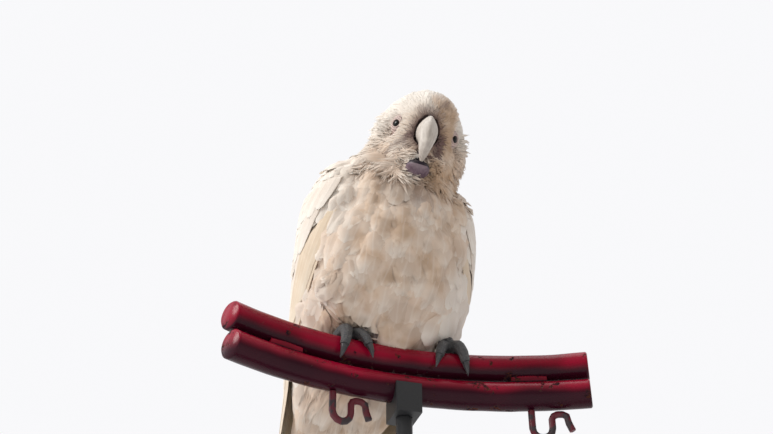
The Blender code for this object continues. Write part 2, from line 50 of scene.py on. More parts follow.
def posed(place, turn=0.0, side=0.0, forward=0.0):  # a body frame over the perch
    turned = (
        Matrix.Rotation(math.radians(turn), 4, "Z")
        @ Matrix.Rotation(math.radians(side), 4, "Y")
        @ Matrix.Rotation(math.radians(forward), 4, "X")
    )
    return Matrix.Translation(perchTop + Vector(place) * mm) @ turned


trunkFrame = posed((-24, 35, -5), side=8.2, forward=22.7)  # leaning over the perch
headFrame = posed((4.0, -34, 143.5), turn=-4.0, side=10.0, forward=25.0)  # lowered and tilted


def localTo(bodyFrame, points):  # world metres to a body frame's millimetres, for arrays
    turn = np.array(bodyFrame.to_3x3())
    return (points - np.array(bodyFrame.translation)) @ turn / mm


def worldFrom(bodyFrame, points):
    turn = np.array(bodyFrame.to_3x3())
    return points @ turn.T * mm + np.array(bodyFrame.translation)


def turnedFrom(bodyFrame, directions):
    return np.asarray(directions, float) @ np.array(bodyFrame.to_3x3()).T


def unit(rows):
    return rows / np.maximum(np.linalg.norm(rows, axis=-1, keepdims=True), 1e-9)


def smoothStep(low, high, value):
    t = np.clip((value - low) / (high - low), 0, 1)
    return t * t * (3 - 2 * t)


def catmull(rows, along):  # a row between the stations; along counts stations
    rows = np.asarray(rows, float)
    last = len(rows) - 1
    i = min(max(int(along), 0), last - 1)
    t = along - i
    p, q, r, s = rows[max(i - 1, 0)], rows[i], rows[i + 1], rows[min(i + 2, last)]
    return 0.5 * (
        2 * q + (r - p) * t + (2 * p - 5 * q + 4 * r - s) * t**2 + (3 * q - p - 3 * r + s) * t**3
    )


def rowAt(rows, key):  # the row whose first value is key
    for i in range(len(rows) - 1):
        if key <= rows[i + 1][0] or i == len(rows) - 2:
            return catmull(rows, i + (key - rows[i][0]) / (rows[i + 1][0] - rows[i][0]))[1:]


def newPiece(name, mesh, *materials):  # an object at the origin, shaded smooth
    piece = bpy.data.objects.new(name, mesh)
    scene.collection.objects.link(piece)
    for material in materials:
        mesh.materials.append(material)
    mesh.polygons.foreach_set("use_smooth", [True] * len(mesh.polygons))
    return piece


def meshOf(name, points, faces):
    mesh = bpy.data.meshes.new(name)
    mesh.from_pydata([tuple(p) for p in points], [], faces)
    mesh.update()
    return mesh


def pointsOf(mesh):
    found = np.empty(len(mesh.vertices) * 3, np.float32)
    mesh.vertices.foreach_get("co", found)
    return found.reshape(-1, 3).astype(float)


def normalsOf(mesh):
    found = np.empty(len(mesh.vertices) * 3, np.float32)
    mesh.vertex_normals.foreach_get("vector", found)
    return found.reshape(-1, 3).astype(float)


def movePoints(mesh, points):
    mesh.vertices.foreach_set("co", np.asarray(points, np.float32).ravel())
    mesh.update()


def giveNumbers(mesh, name, values):  # one number for each vertex
    mesh.attributes.new(name, "FLOAT", "POINT").data.foreach_set(
        "value", np.asarray(values, np.float32).ravel()
    )


def giveVectors(mesh, name, values):
    mesh.attributes.new(name, "FLOAT_VECTOR", "POINT").data.foreach_set(
        "vector", np.asarray(values, np.float32).ravel()
    )


def opened(mesh):  # a bmesh that holds a mesh's shape
    work = bmesh.new()
    work.from_mesh(mesh)
    return work


def closed(work, mesh):  # puts the shape back
    work.to_mesh(mesh)
    work.free()
    return mesh


def turnedOut(mesh, merge=False):  # the faces of a closed shape point outwards
    work = opened(mesh)
    if merge:
        bmesh.ops.remove_doubles(work, verts=work.verts, dist=1e-6)
    bmesh.ops.recalc_face_normals(work, faces=work.faces)
    return closed(work, mesh)


def ringFaces(rings, around, first=0):  # quads between one ring of points and the next
    faces = []
    for i in range(rings - 1):
        for k in range(around):
            a, b = first + i * around + k, first + i * around + (k + 1) % around
            faces.append((a, a + around, b + around, b))
    return faces


def settled(piece):  # the evaluated shape becomes the piece's own mesh, with no modifiers left
    graph = bpy.context.evaluated_depsgraph_get()
    mesh = bpy.data.meshes.new_from_object(piece.evaluated_get(graph))
    piece.modifiers.clear()
    piece.data = mesh
    return mesh


# Materials


def every(size):  # the scale of a pattern that repeats about once in so many millimetres
    return 1 / (size * mm)


def hexColor(code):  # sRGB hex to the linear colour that a shader takes
    channels = [int(code[k : k + 2], 16) / 255 for k in (1, 3, 5)]
    linear = [c / 12.92 if c <= 0.04045 else ((c + 0.055) / 1.055) ** 2.4 for c in channels]
    return (*linear, 1.0)


def addNode(tree, kind, values=(), out=0, **settings):  # a node with its settings and links
    node = tree.nodes.new(kind)
    for name, value in settings.items():
        setattr(node, name, value)
    for key, value in values.items() if isinstance(values, dict) else enumerate(values):
        socket = node.inputs[key]
        if isinstance(value, bpy.types.NodeSocket):
            tree.links.new(value, socket)
        elif isinstance(value, str) and value.startswith("#"):
            socket.default_value = hexColor(value)
        else:
            socket.default_value = value
    return node.outputs[out] if node.outputs else node  # the output that the next node links to


def newMaterial(name):
    material = bpy.data.materials.new(name)
    material.use_nodes = True
    material.node_tree.nodes.clear()
    return material, partial(addNode, material.node_tree)


smooth = {"interpolation_type": "SMOOTHSTEP"}  # a map range that eases in and out
blend = {"data_type": "RGBA", "out": 2}  # a mix of two colours

lobeSize = 13.333  # mm from one lobe of the breast to the next, in its shape and in the painted shade of its creases alike
plumageLook = {
    "white": "#efe9e0",  # keratin with trapped air, so it scatters as plain white
    "down": "#cdb5a2",  # the fluffy base of each vane seen between its neighbours, and the painted shade just under the tip of the vane above
    "stain": "#dabfa6",  # dust and tree oil on the face, and painted shade on the breast, vent and flanks
    "tan": "#b99a7c",  # where the stain and painted shade are strongest
    "hollow": "#957a63",  # painted shade in the hollows between lobes
    "lores": "#5c403f",  # rose-brown down beside the bill, also used as painted shade under the chin
    "yellow": "#e2cda6",  # wash under the flight feathers
    "shaft": "#fffdf8",
    "dustSize": 16.67,  # mm across a patch of dust
    "fluffSize": 1.111,  # mm across a wisp of the surface
    "barbStep": 0.9,  # mm between barbs, drawn about four times too coarse so that they show
}


def makePlumage(name, look=plumageLook):  # small soft vanes: matt, with a faint silky sheen
    material, add = newMaterial(name)
    along, across, tint, stain, lores, yellow, lengthMm = (
        add("ShaderNodeAttribute", out=2, attribute_name=mark)
        for mark in ("along", "across", "tint", "stain", "lores", "yellow", "lengthMm"))
    place = add("ShaderNodeTexCoord", out="Object")
    patchy = add("ShaderNodeTexNoise", {"Vector": place, "Scale": every(look["dustSize"]), "Detail": 3.0})
    # painted shade: each vane darkens from near its tip towards its root, so the part just under the vane
    # above is darkest
    downAndTipShade = add("ShaderNodeMapRange", (along, 0.35, 0.97, 0.62, 0.0), **smooth)
    stainAndShadeRamp = add("ShaderNodeMapRange", (stain, 0.0, 0.5, 0.4, 1.0), **smooth)
    downAndTipShade = add("ShaderNodeMath", (downAndTipShade, stainAndShadeRamp), operation="MULTIPLY")  # the down and the painted shade under each tip show more where the stain and painted shade are stronger
    color = add("ShaderNodeMix", {0: downAndTipShade, 6: look["white"], 7: look["down"]}, **blend)
    lumps = add("ShaderNodeTexNoise", {"Vector": place, "Scale": every(lobeSize), "Detail": 1.0})
    creased = add("ShaderNodeMapRange", (lumps, 0.36, 0.52, 1.0, 0.0), **smooth)  # hollows between lobes, which get painted shade
    creased = add("ShaderNodeMath", (creased, stain), operation="MULTIPLY")
    uneven = add("ShaderNodeMapRange", (patchy, 0.32, 0.68, 0.5, 1.2), **smooth)
    # stain, and painted shade where the mark stands for shade
    patchyStainAndShade = add("ShaderNodeMath", (stain, uneven), operation="MULTIPLY")
    color = add("ShaderNodeMix", {0: patchyStainAndShade, 6: color, 7: look["stain"]}, **blend)
    heaviest = add("ShaderNodeMapRange", (patchyStainAndShade, 0.55, 1.1, 0.0, 0.85), **smooth)
    color = add("ShaderNodeMix", {0: heaviest, 6: color, 7: look["tan"]}, **blend)
    # painted shade in the creases, only where the stain and shade mark is
    shaded = add("ShaderNodeMath", (creased, 0.36), operation="MULTIPLY")
    color = add("ShaderNodeMix", {0: shaded, 6: color, 7: look["hollow"]}, **blend)
    color = add("ShaderNodeMix", {0: yellow, 6: color, 7: look["yellow"]}, **blend)
    # lores colour, and painted shade under the chin
    color = add("ShaderNodeMix", {0: lores, 6: color, 7: look["lores"]}, **blend)
    edge = add("ShaderNodeMath", (across,), operation="ABSOLUTE")
    shaft = add("ShaderNodeMapRange", (edge, 0.0, 0.1, 0.12, 0.0), **smooth)
    color = add("ShaderNodeMix", {0: shaft, 6: color, 7: look["shaft"]}, **blend)
    shade = add("ShaderNodeMapRange", (tint, 0.0, 1.0, 0.92, 1.0))
    color = add("ShaderNodeMix", {0: 1.0, 6: color, 7: shade}, blend_type="MULTIPLY", **blend)
    run = add("ShaderNodeMath", (along, lengthMm), operation="MULTIPLY")
    slant = add("ShaderNodeMath", (edge, -5.0, run), operation="MULTIPLY_ADD")  # barbs sweep back 5 mm
    wave = add("ShaderNodeMath", (slant, 2 * math.pi / look["barbStep"]), operation="MULTIPLY")
    barbs = add("ShaderNodeMath", (wave,), operation="SINE")
    fluff = add("ShaderNodeTexNoise", {"Vector": place, "Scale": every(look["fluffSize"]), "Detail": 3.0})
    height = add("ShaderNodeMath", (barbs, 0.1, fluff), operation="MULTIPLY_ADD")
    relief = add("ShaderNodeBump", {"Strength": 0.16, "Distance": 0.0003, "Height": height})
    surface = add("ShaderNodeBsdfPrincipled", {
        "Base Color": color, "Roughness": 0.74, "Normal": relief, "Sheen Weight": 0.25,
        "Sheen Roughness": 0.5, "Specular IOR Level": 0.2})
    add("ShaderNodeOutputMaterial", (surface,))
    return material


skinLook = {
    "dark": "#cdb9aa",
    "light": "#e6d8ca",
    # dust, and painted shade where the stain and shade mark stands for shade
    "dustAndShade": "#c5a283",
    "ringDark": "#b29a93",  # the bare ring round the eye
    "ringLight": "#dac3ba",
    # rose-brown lores, and painted shade under the chin
    "lores": "#4f3840",
    "grain": 1.429,  # mm
}


def makeSkinLook(look=skinLook):  # bare skin under the coat: pinkish white, greyer round the eyes
    material, add = newMaterial("bareSkinUnderDown")
    stain, lores, bare = (add("ShaderNodeAttribute", out=2, attribute_name=mark)
                          for mark in ("stain", "lores", "bare"))
    place = add("ShaderNodeTexCoord", out="Object")
    fine = add("ShaderNodeTexNoise", {"Vector": place, "Scale": every(look["grain"]), "Detail": 3.0})
    color = add("ShaderNodeMix", {0: fine, 6: look["dark"], 7: look["light"]}, **blend)
    # dust and painted shade from the stain and shade mark
    color = add("ShaderNodeMix", {0: stain, 6: color, 7: look["dustAndShade"]}, **blend)
    ring = add("ShaderNodeMix", {0: fine, 6: look["ringDark"], 7: look["ringLight"]}, **blend)
    color = add("ShaderNodeMix", {0: bare, 6: color, 7: ring}, **blend)
    color = add("ShaderNodeMix", {0: lores, 6: color, 7: look["lores"]}, **blend)
    relief = add("ShaderNodeBump", {"Strength": 0.5, "Distance": 0.0006, "Height": fine})
    surface = add("ShaderNodeBsdfPrincipled", {"Base Color": color, "Roughness": 0.7, "Normal": relief})
    add("ShaderNodeOutputMaterial", (surface,))
    return material


lidLook = {
    "dark": "#a8908a",
    "light": "#d6bfb6",
    "fold": "#3c3633",  # darker in the folds and along the lid's edge
    "grain": 0.6667,  # mm
}


def makeLidSkin(look=lidLook):  # wrinkled bare skin of the eye ring
    material, add = newMaterial("eyeRingSkin")
    place = add("ShaderNodeTexCoord", out="Object")
    fold = add("ShaderNodeAttribute", out=2, attribute_name="fold")
    fine = add("ShaderNodeTexNoise", {"Vector": place, "Scale": every(look["grain"]), "Detail": 3.0})
    spread = add("ShaderNodeMapRange", (fine, 0.3, 0.7), **smooth)
    color = add("ShaderNodeMix", {0: spread, 6: look["dark"], 7: look["light"]}, **blend)
    color = add("ShaderNodeMix", {0: fold, 6: color, 7: look["fold"]}, **blend)
    relief = add("ShaderNodeBump", {"Strength": 0.4, "Distance": 0.0004, "Height": fine})
    surface = add("ShaderNodeBsdfPrincipled", {
        "Base Color": color, "Roughness": 0.5, "Normal": relief, "Specular IOR Level": 0.4})
    add("ShaderNodeOutputMaterial", (surface,))
    return material


billLook = {
    "dark": "#b9afa6",
    "light": "#d2c9bf",
    "dull": "#a1978c",  # blotches where the horn has gone chalky
    "tip": "#978a80",
    "root": "#5d4c50",  # darker towards the root, where it goes under the down
    "streakSize": 1.613,  # mm
    "blotchSize": 8.333,
}


def makeBillHorn(look=billLook):  # keratin grown in thin layers, dry and a little chalky
    material, add = newMaterial("boneWhiteBillHorn")
    place = add("ShaderNodeTexCoord", out="Object")
    run = add("ShaderNodeAttribute", out=2, attribute_name="run")
    stretched = add("ShaderNodeMapping", {"Vector": place, "Scale": (1.0, 1.0, 0.2)})
    streaks = add("ShaderNodeTexNoise", {
        "Vector": stretched, "Scale": every(look["streakSize"]), "Detail": 3.0})
    blotch = add("ShaderNodeTexNoise", {
        "Vector": place, "Scale": every(look["blotchSize"]), "Detail": 2.0})
    grown = add("ShaderNodeMath", (run, 60.0), operation="MULTIPLY")
    phase = add("ShaderNodeMath", (blotch, 9.0, grown), operation="MULTIPLY_ADD")
    layers = add("ShaderNodeMath", (phase,), operation="SINE")
    share = add("ShaderNodeMapRange", (streaks, 0.3, 0.75), **smooth)
    color = add("ShaderNodeMix", {0: share, 6: look["dark"], 7: look["light"]}, **blend)
    dull = add("ShaderNodeMapRange", (blotch, 0.5, 0.75, 0.0, 0.4), **smooth)
    color = add("ShaderNodeMix", {0: dull, 6: color, 7: look["dull"]}, **blend)
    tip = add("ShaderNodeMapRange", (run, 0.6, 1.0, 0.0, 0.55), **smooth)
    color = add("ShaderNodeMix", {0: tip, 6: color, 7: look["tip"]}, **blend)
    root = add("ShaderNodeMapRange", (run, 0.0, 0.16, 0.75, 0.0), **smooth)
    color = add("ShaderNodeMix", {0: root, 6: color, 7: look["root"]}, **blend)
    height = add("ShaderNodeMath", (layers, 0.35, streaks), operation="MULTIPLY_ADD")
    relief = add("ShaderNodeBump", {"Strength": 0.3, "Distance": 0.0003, "Height": height})
    surface = add("ShaderNodeBsdfPrincipled", {
        "Base Color": color, "Roughness": 0.46, "Normal": relief, "IOR": 1.54})
    add("ShaderNodeOutputMaterial", (surface,))
    return material


lowerBillLook = {
    "dark": "#5d4957",
    "light": "#7b6772",
    "worn": "#8d7c82",
    # dark mouth flesh, and painted shade in the gap under the upper bill
    "mouthAndGapShade": "#1f1424",
    "streakSize": 1.923,  # mm
}


def makeLowerBillHorn(look=lowerBillLook):  # greyer horn, painted a dark grey-mauve that partly stands for the shade under the upper bill
    material, add = newMaterial("greyMauveBillHorn")
    place = add("ShaderNodeTexCoord", out="Object")
    run, inside = (add("ShaderNodeAttribute", out=2, attribute_name=mark) for mark in ("run", "inside"))
    stretched = add("ShaderNodeMapping", {"Vector": place, "Scale": (1.0, 1.0, 0.25)})
    streaks = add("ShaderNodeTexNoise", {
        "Vector": stretched, "Scale": every(look["streakSize"]), "Detail": 3.0})
    share = add("ShaderNodeMapRange", (streaks, 0.3, 0.7), **smooth)
    color = add("ShaderNodeMix", {0: share, 6: look["dark"], 7: look["light"]}, **blend)
    worn = add("ShaderNodeMapRange", (run, 0.75, 1.0, 0.0, 0.6), **smooth)  # paler along the chisel edge
    color = add("ShaderNodeMix", {0: worn, 6: color, 7: look["worn"]}, **blend)
    mouthAndGapShade = add("ShaderNodeMapRange", (inside, 0.08, 0.35), **smooth)  # dark flesh lines the trough, with painted shade in the gap under the upper bill
    color = add("ShaderNodeMix", {0: mouthAndGapShade, 6: color, 7: look["mouthAndGapShade"]}, **blend)
    relief = add("ShaderNodeBump", {"Strength": 0.3, "Distance": 0.0003, "Height": streaks})
    surface = add("ShaderNodeBsdfPrincipled", {
        "Base Color": color, "Roughness": 0.5, "Normal": relief, "IOR": 1.54})
    add("ShaderNodeOutputMaterial", (surface,))
    return material


footLook = {
    "dark": "#2c2d31",
    "light": "#595a5c",
    "seam": "#87817a",  # dust between the scutes
    "scute": 1.923,  # mm across
    "grain": 0.7143,
}


def makeFootSkin(look=footLook):  # tough leathery scales, dusty grey with pale seams
    material, add = newMaterial("scutedFootSkin")
    place = add("ShaderNodeTexCoord", out="Object")
    cells = add("ShaderNodeTexVoronoi", {"Vector": place, "Scale": every(look["scute"])},
                feature="DISTANCE_TO_EDGE")
    plates = add("ShaderNodeMapRange", (cells, 0.0, 0.16), **smooth)
    fine = add("ShaderNodeTexNoise", {"Vector": place, "Scale": every(look["grain"]), "Detail": 3.0})
    color = add("ShaderNodeMix", {0: fine, 6: look["dark"], 7: look["light"]}, **blend)
    seam = add("ShaderNodeMapRange", (cells, 0.0, 0.05, 0.5, 0.0), **smooth)
    color = add("ShaderNodeMix", {0: seam, 6: color, 7: look["seam"]}, **blend)
    height = add("ShaderNodeMath", (fine, 0.3, plates), operation="MULTIPLY_ADD")
    relief = add("ShaderNodeBump", {"Strength": 0.7, "Distance": 0.0006, "Height": height})
    surface = add("ShaderNodeBsdfPrincipled", {"Base Color": color, "Roughness": 0.6, "Normal": relief})
    add("ShaderNodeOutputMaterial", (surface,))
    return material


clawLook = {"dark": "#1f1f23", "light": "#4a494b", "grain": 0.909, "roughness": 0.36, "ior": 1.54}
tongueLook = {"dark": "#2a1a30", "light": "#4a3450", "grain": 0.625, "roughness": 0.35, "ior": 1.4}


def makeStreaked(name, look):  # horn and wet flesh: one fine streak of tone
    material, add = newMaterial(name)
    place = add("ShaderNodeTexCoord", out="Object")
    streaks = add("ShaderNodeTexNoise", {"Vector": place, "Scale": every(look["grain"]), "Detail": 3.0})
    color = add("ShaderNodeMix", {0: streaks, 6: look["dark"], 7: look["light"]}, **blend)
    relief = add("ShaderNodeBump", {"Strength": 0.3, "Distance": 0.0003, "Height": streaks})
    surface = add("ShaderNodeBsdfPrincipled", {
        "Base Color": color, "Roughness": look["roughness"], "Normal": relief, "IOR": look["ior"]})
    add("ShaderNodeOutputMaterial", (surface,))
    return material


eyeLook = {
    "irisDark": "#120b08",
    "irisLight": "#2e1d13",
    "pupil": "#040404",
    "white": "#b9aea4",
    "fibre": 0.4167,  # mm
}


def makeEyeball(look=eyeLook):  # wet cornea over a dark brown iris
    material, add = newMaterial("wetEyeball")
    away = add("ShaderNodeAttribute", out=2, attribute_name="offGaze")
    place = add("ShaderNodeTexCoord", out="Object")
    fibres = add("ShaderNodeTexNoise", {"Vector": place, "Scale": every(look["fibre"]), "Detail": 3.0})
    color = add("ShaderNodeMix", {0: fibres, 6: look["irisDark"], 7: look["irisLight"]}, **blend)
    pupil = add("ShaderNodeMapRange", (away, 0.30, 0.36, 1.0, 0.0), **smooth)
    color = add("ShaderNodeMix", {0: pupil, 6: color, 7: look["pupil"]}, **blend)
    white = add("ShaderNodeMapRange", (away, 0.80, 0.92), **smooth)
    color = add("ShaderNodeMix", {0: white, 6: color, 7: look["white"]}, **blend)
    surface = add("ShaderNodeBsdfPrincipled", {
        "Base Color": color, "Roughness": 0.06, "IOR": 1.376, "Specular IOR Level": 0.4})
    add("ShaderNodeOutputMaterial", (surface,))
    return material


railLook = {
    "paint": "#7e0420",  # crimson gloss enamel, brushed on
    "faded": "#a00c30",
    "primerAndShade": "#1f0a18",  # old dark purple coat that shows where the red has gone, and the painted shade on the underside and the lower ring
    "rust": "#4b2416",
    "chipSize": 10.526,  # mm
    "cloudSize": 45.45,
    "fineSize": 1.923,
}


def makeRailEnamel(look=railLook):  # glossy where it's whole, dull and ragged where it has chipped
    material, add = newMaterial("chippedCrimsonEnamel")
    place = add("ShaderNodeTexCoord", out="Object")
    normal = add("ShaderNodeNewGeometry", out="Normal")
    up = add("ShaderNodeSeparateXYZ", (normal,), out=2)
    chips = add("ShaderNodeTexNoise", {
        "Vector": place, "Scale": every(look["chipSize"]), "Detail": 6.0, "Roughness": 0.7})
    broad = add("ShaderNodeTexNoise", {"Vector": place, "Scale": every(look["cloudSize"]), "Detail": 2.0})
    fine = add("ShaderNodeTexNoise", {"Vector": place, "Scale": every(look["fineSize"]), "Detail": 3.0})
    sunned = add("ShaderNodeMapRange", (broad, 0.35, 0.7), **smooth)
    color = add("ShaderNodeMix", {0: sunned, 6: look["paint"], 7: look["faded"]}, **blend)
    # painted shade: darker where the surface faces down
    low = add("ShaderNodeMath", (broad, 0.9, up), operation="MULTIPLY_ADD")
    high = add("ShaderNodeSeparateXYZ", (place,), out=2)
    sunk = add("ShaderNodeMath", (high, 22.0, -8.1), operation="MULTIPLY_ADD")
    low = add("ShaderNodeMath", (low, sunk), operation="ADD")  # painted shade: the lower ring is darker
    under = add("ShaderNodeMapRange", (low, -0.3, 0.5, 0.92, 0.0), **smooth)  # painted shade on the underside and the lower ring
    color = add("ShaderNodeMix", {0: under, 6: color, 7: look["primerAndShade"]}, **blend)
    gone = add("ShaderNodeMapRange", (chips, 0.59, 0.63), **smooth)
    mottled = add("ShaderNodeMapRange", (fine, 0.4, 0.6), **smooth)
    bare = add("ShaderNodeMix", {0: mottled, 6: look["primerAndShade"], 7: look["rust"]}, **blend)
    color = add("ShaderNodeMix", {0: gone, 6: color, 7: bare}, **blend)
    rough = add("ShaderNodeMapRange", (gone, 0.0, 1.0, 0.24, 0.8))
    ragged = add("ShaderNodeMath", (fine, 0.35), operation="MULTIPLY")
    height = add("ShaderNodeMath", (ragged, gone), operation="SUBTRACT")
    relief = add("ShaderNodeBump", {"Strength": 0.5, "Distance": 0.0005, "Height": height})
    surface = add("ShaderNodeBsdfPrincipled", {
        "Base Color": color, "Roughness": rough, "Normal": relief, "Specular IOR Level": 0.16})
    add("ShaderNodeOutputMaterial", (surface,))
    return material


hookLook = {"paint": "#5c0f20", "bare": "#352a2e", "wearSize": 7.692}


def makeHookSteel(look=hookLook):  # rod dipped in the same red, worn to dark steel by the cords
    material, add = newMaterial("wornPaintedSteelWire")
    place = add("ShaderNodeTexCoord", out="Object")
    wear = add("ShaderNodeTexNoise", {"Vector": place, "Scale": every(look["wearSize"]), "Detail": 5.0})
    gone = add("ShaderNodeMapRange", (wear, 0.52, 0.6), **smooth)
    color = add("ShaderNodeMix", {0: gone, 6: look["paint"], 7: look["bare"]}, **blend)
    rough = add("ShaderNodeMapRange", (gone, 0.0, 1.0, 0.38, 0.6))
    relief = add("ShaderNodeBump", {"Strength": 0.3, "Distance": 0.0003, "Height": wear})
    surface = add("ShaderNodeBsdfPrincipled", {"Base Color": color, "Roughness": rough, "Normal": relief})
    add("ShaderNodeOutputMaterial", (surface,))
    return material


standLook = {"dark": "#1f2022", "light": "#2b2c2f", "peel": 1.111, "cloud": 33.33}


def makeStandPaint(look=standLook):  # powder coat: even, with a fine orange-peel skin
    material, add = newMaterial("blackPowderCoat")
    place = add("ShaderNodeTexCoord", out="Object")
    peel = add("ShaderNodeTexNoise", {"Vector": place, "Scale": every(look["peel"]), "Detail": 2.0})
    cloud = add("ShaderNodeTexNoise", {"Vector": place, "Scale": every(look["cloud"]), "Detail": 3.0})
    color = add("ShaderNodeMix", {0: cloud, 6: look["dark"], 7: look["light"]}, **blend)
    relief = add("ShaderNodeBump", {"Strength": 0.25, "Distance": 0.0003, "Height": peel})
    surface = add("ShaderNodeBsdfPrincipled", {"Base Color": color, "Roughness": 0.5, "Normal": relief})
    add("ShaderNodeOutputMaterial", (surface,))
    return material


bareSkin = makeSkinLook()
lidSkin = makeLidSkin()
plumage = makePlumage("softWhitePlumage")
billHorn = makeBillHorn()
lowerBillHorn = makeLowerBillHorn()
footSkin = makeFootSkin()
clawHorn = makeStreaked("greyClawHorn", clawLook)  # polished by the perch, so it shines a little
tongueFlesh = makeStreaked("wetTongueFlesh", tongueLook)  # dark and damp
eyeball = makeEyeball()
railEnamel = makeRailEnamel()
hookSteel = makeHookSteel()
standPaint = makeStandPaint()
print("materials made")


# Skin: one closed shape for all the flesh, lying under the coat

skinValues = {
    "voxel": 1.4,  # mm
    "swell": 0.35,  # closes the clearance between neighbouring solids before they join
    "smoothing": 6,
    "bodyDepth": 2.6,  # how far the skin lies inside the feathered outline
    "headDepth": 1.5,
    "blend": 1.2,  # how soon one part's lie gives way to its neighbour's
    "eyePlace": (16.4, -17.5, 0.5),  # in the head, for the left eye
    "eyeRing": (6.8, 5.4),  # where the bare ring begins, and where it is quite bare
    "ringDrop": 1.6,  # how far its middle lies below the eye's
    "ringTall": 1.15,  # its height as a share of its width
    "billRoot": (0.0, -36.0, -8.0),
}
fleshNames = ["head", "neck", "trunk", "thigh_right", "thigh_left", "wing_right", "wing_left"]

wrapStations = [  # height, axis x and y, half width, front and back: the body inside the wings, in mm
    (-135, 0, 0, 18, 14, 15), (-110, 0, 0, 22, 16, 17), (-80, 0, 0, 27, 18, 20),
    (-50, 1, 0, 32, 20, 23), (-20, 2, 0, 36, 22, 26), (2, 3, 0, 41, 26, 29),
    (25, 6, 0, 46, 35, 33), (50, 7, 0, 50, 45, 37), (75, 5, 0, 50.5, 50, 39),
    (100, 2, 0, 48, 46, 38), (118, 1, 0, 44, 40, 36), (131, 1, -1, 40, 35, 33),
    (145, 1, -2, 37, 33, 31),
]
wingStations = [  # height, front and back edge in degrees behind the side, thickness
    (-124, 47, 56, 1.6), (-116, 38, 66, 2.6), (-98, 28, 76, 3.4), (-74, 20, 82, 4.4),
    (-48, 14, 86, 5.4), (-22, 7, 88, 6.6), (2, -2, 88, 7.8), (26, -12, 88, 9.0),
    (50, -22, 88, 10.0), (74, -31, 86, 10.8), (96, -38, 78, 11.4), (112, -41, 66, 11.0),
    (124, -38, 50, 9.4), (132, -28, 32, 6.6), (137, -12, 12, 3.2),
]


def dense(stations, count=240):  # a smooth table through the stations, for np.interp
    keys = np.linspace(stations[0][0], stations[-1][0], count)
    return keys, np.array([rowAt(stations, key) for key in keys])


wrapTable, wingTable = dense(wrapStations), dense(wingStations)


def wingPlace(points):  # share of the way across the wing, front edge 0 to back edge 1, in the trunk
    axisX, axisY, half, front, back = (
        np.interp(points[:, 2], wrapTable[0], wrapTable[1][:, k]) for k in range(5))
    first, last = (np.interp(points[:, 2], wingTable[0], wingTable[1][:, k]) for k in range(2))
    behind = points[:, 1] - axisY
    deep = np.where(behind > 0, back, front) + 5
    angle = np.degrees(np.arctan2(behind / deep, np.abs(points[:, 0] - axisX) / (half + 5)))
    return (angle - first) / np.maximum(last - first, 1)


def mergedNode(name):  # a CAD node's mesh with its loose triangles joined
    work = opened(nodes[name].data)
    bmesh.ops.remove_doubles(work, verts=work.verts, dist=1e-6)
    bmesh.ops.recalc_face_normals(work, faces=work.faces)
    work.normal_update()
    return work


def largestShell(mesh):  # drops the small closed bubbles that a remesh can leave inside
    work = opened(mesh)
    left, shells = set(work.verts), []
    while left:
        front = [left.pop()]
        shell = set(front)
        while front:
            for edge in front.pop().link_edges:
                for vert in edge.verts:
                    if vert in left:
                        left.discard(vert)
                        shell.add(vert)
                        front.append(vert)
        shells.append(shell)
    keep = max(shells, key=len)
    bmesh.ops.delete(work, geom=[v for v in work.verts if v not in keep], context="VERTS")
    closed(work, mesh)


def remeshed(name, parts, voxel, swell=0.0, steps=4, material=None):
    joined = bmesh.new()
    for part in parts:
        work = mergedNode(part)
        for vert in work.verts:
            vert.co += vert.normal * swell * mm
        mesh = closed(work, bpy.data.meshes.new("part"))
        joined.from_mesh(mesh)
        bpy.data.meshes.remove(mesh)
    mesh = closed(joined, bpy.data.meshes.new(name))
    piece = newPiece(name, mesh, *([material] if material else []))
    grid = piece.modifiers.new("grid", "REMESH")
    grid.mode = "VOXEL"
    grid.voxel_size = voxel * mm
    ease = piece.modifiers.new("ease", "SMOOTH")
    ease.factor = 0.5
    ease.iterations = steps
    mesh = settled(piece)
    largestShell(mesh)
    mesh.polygons.foreach_set("use_smooth", [True] * len(mesh.polygons))
    if material and not mesh.materials:
        mesh.materials.append(material)
    return piece


def distanceTo(name, points):  # mm from each point to a node's surface
    work = mergedNode(name)
    tree = BVHTree.FromBMesh(work)
    work.free()
    return np.array([tree.find_nearest(Vector(p))[3] for p in points]) / mm


def easedOver(mesh, values, steps):  # evens a field out over the mesh
    ends = np.empty(len(mesh.edges) * 2, np.int32)
    mesh.edges.foreach_get("vertices", ends)
    a, b = ends.reshape(-1, 2).T
    count = np.zeros(len(values))
    np.add.at(count, a, 1)
    np.add.at(count, b, 1)
    for _ in range(steps):
        total = np.zeros_like(values)
        np.add.at(total, a, values[b])
        np.add.at(total, b, values[a])
        share = total / np.maximum(count, 1).reshape(-1, *[1] * (values.ndim - 1))
        values = 0.4 * values + 0.6 * share
    return values


def ellipse(points, centre, radii):  # 1 inside, fading to 0 at the rim
    reach = np.linalg.norm((points - np.array(centre)) / np.array(radii), axis=1)
    return smoothStep(1.15, 0.6, reach)


def streak(points, start, end, width):  # 1 along a line between two places, fading over its width
    start, end = np.array(start), np.array(end)
    share = np.clip((points - start) @ (end - start) / np.dot(end - start, end - start), 0, 1)
    away = np.linalg.norm(points - start - share[:, None] * (end - start), axis=1)
    return smoothStep(width, 0.3 * width, away)


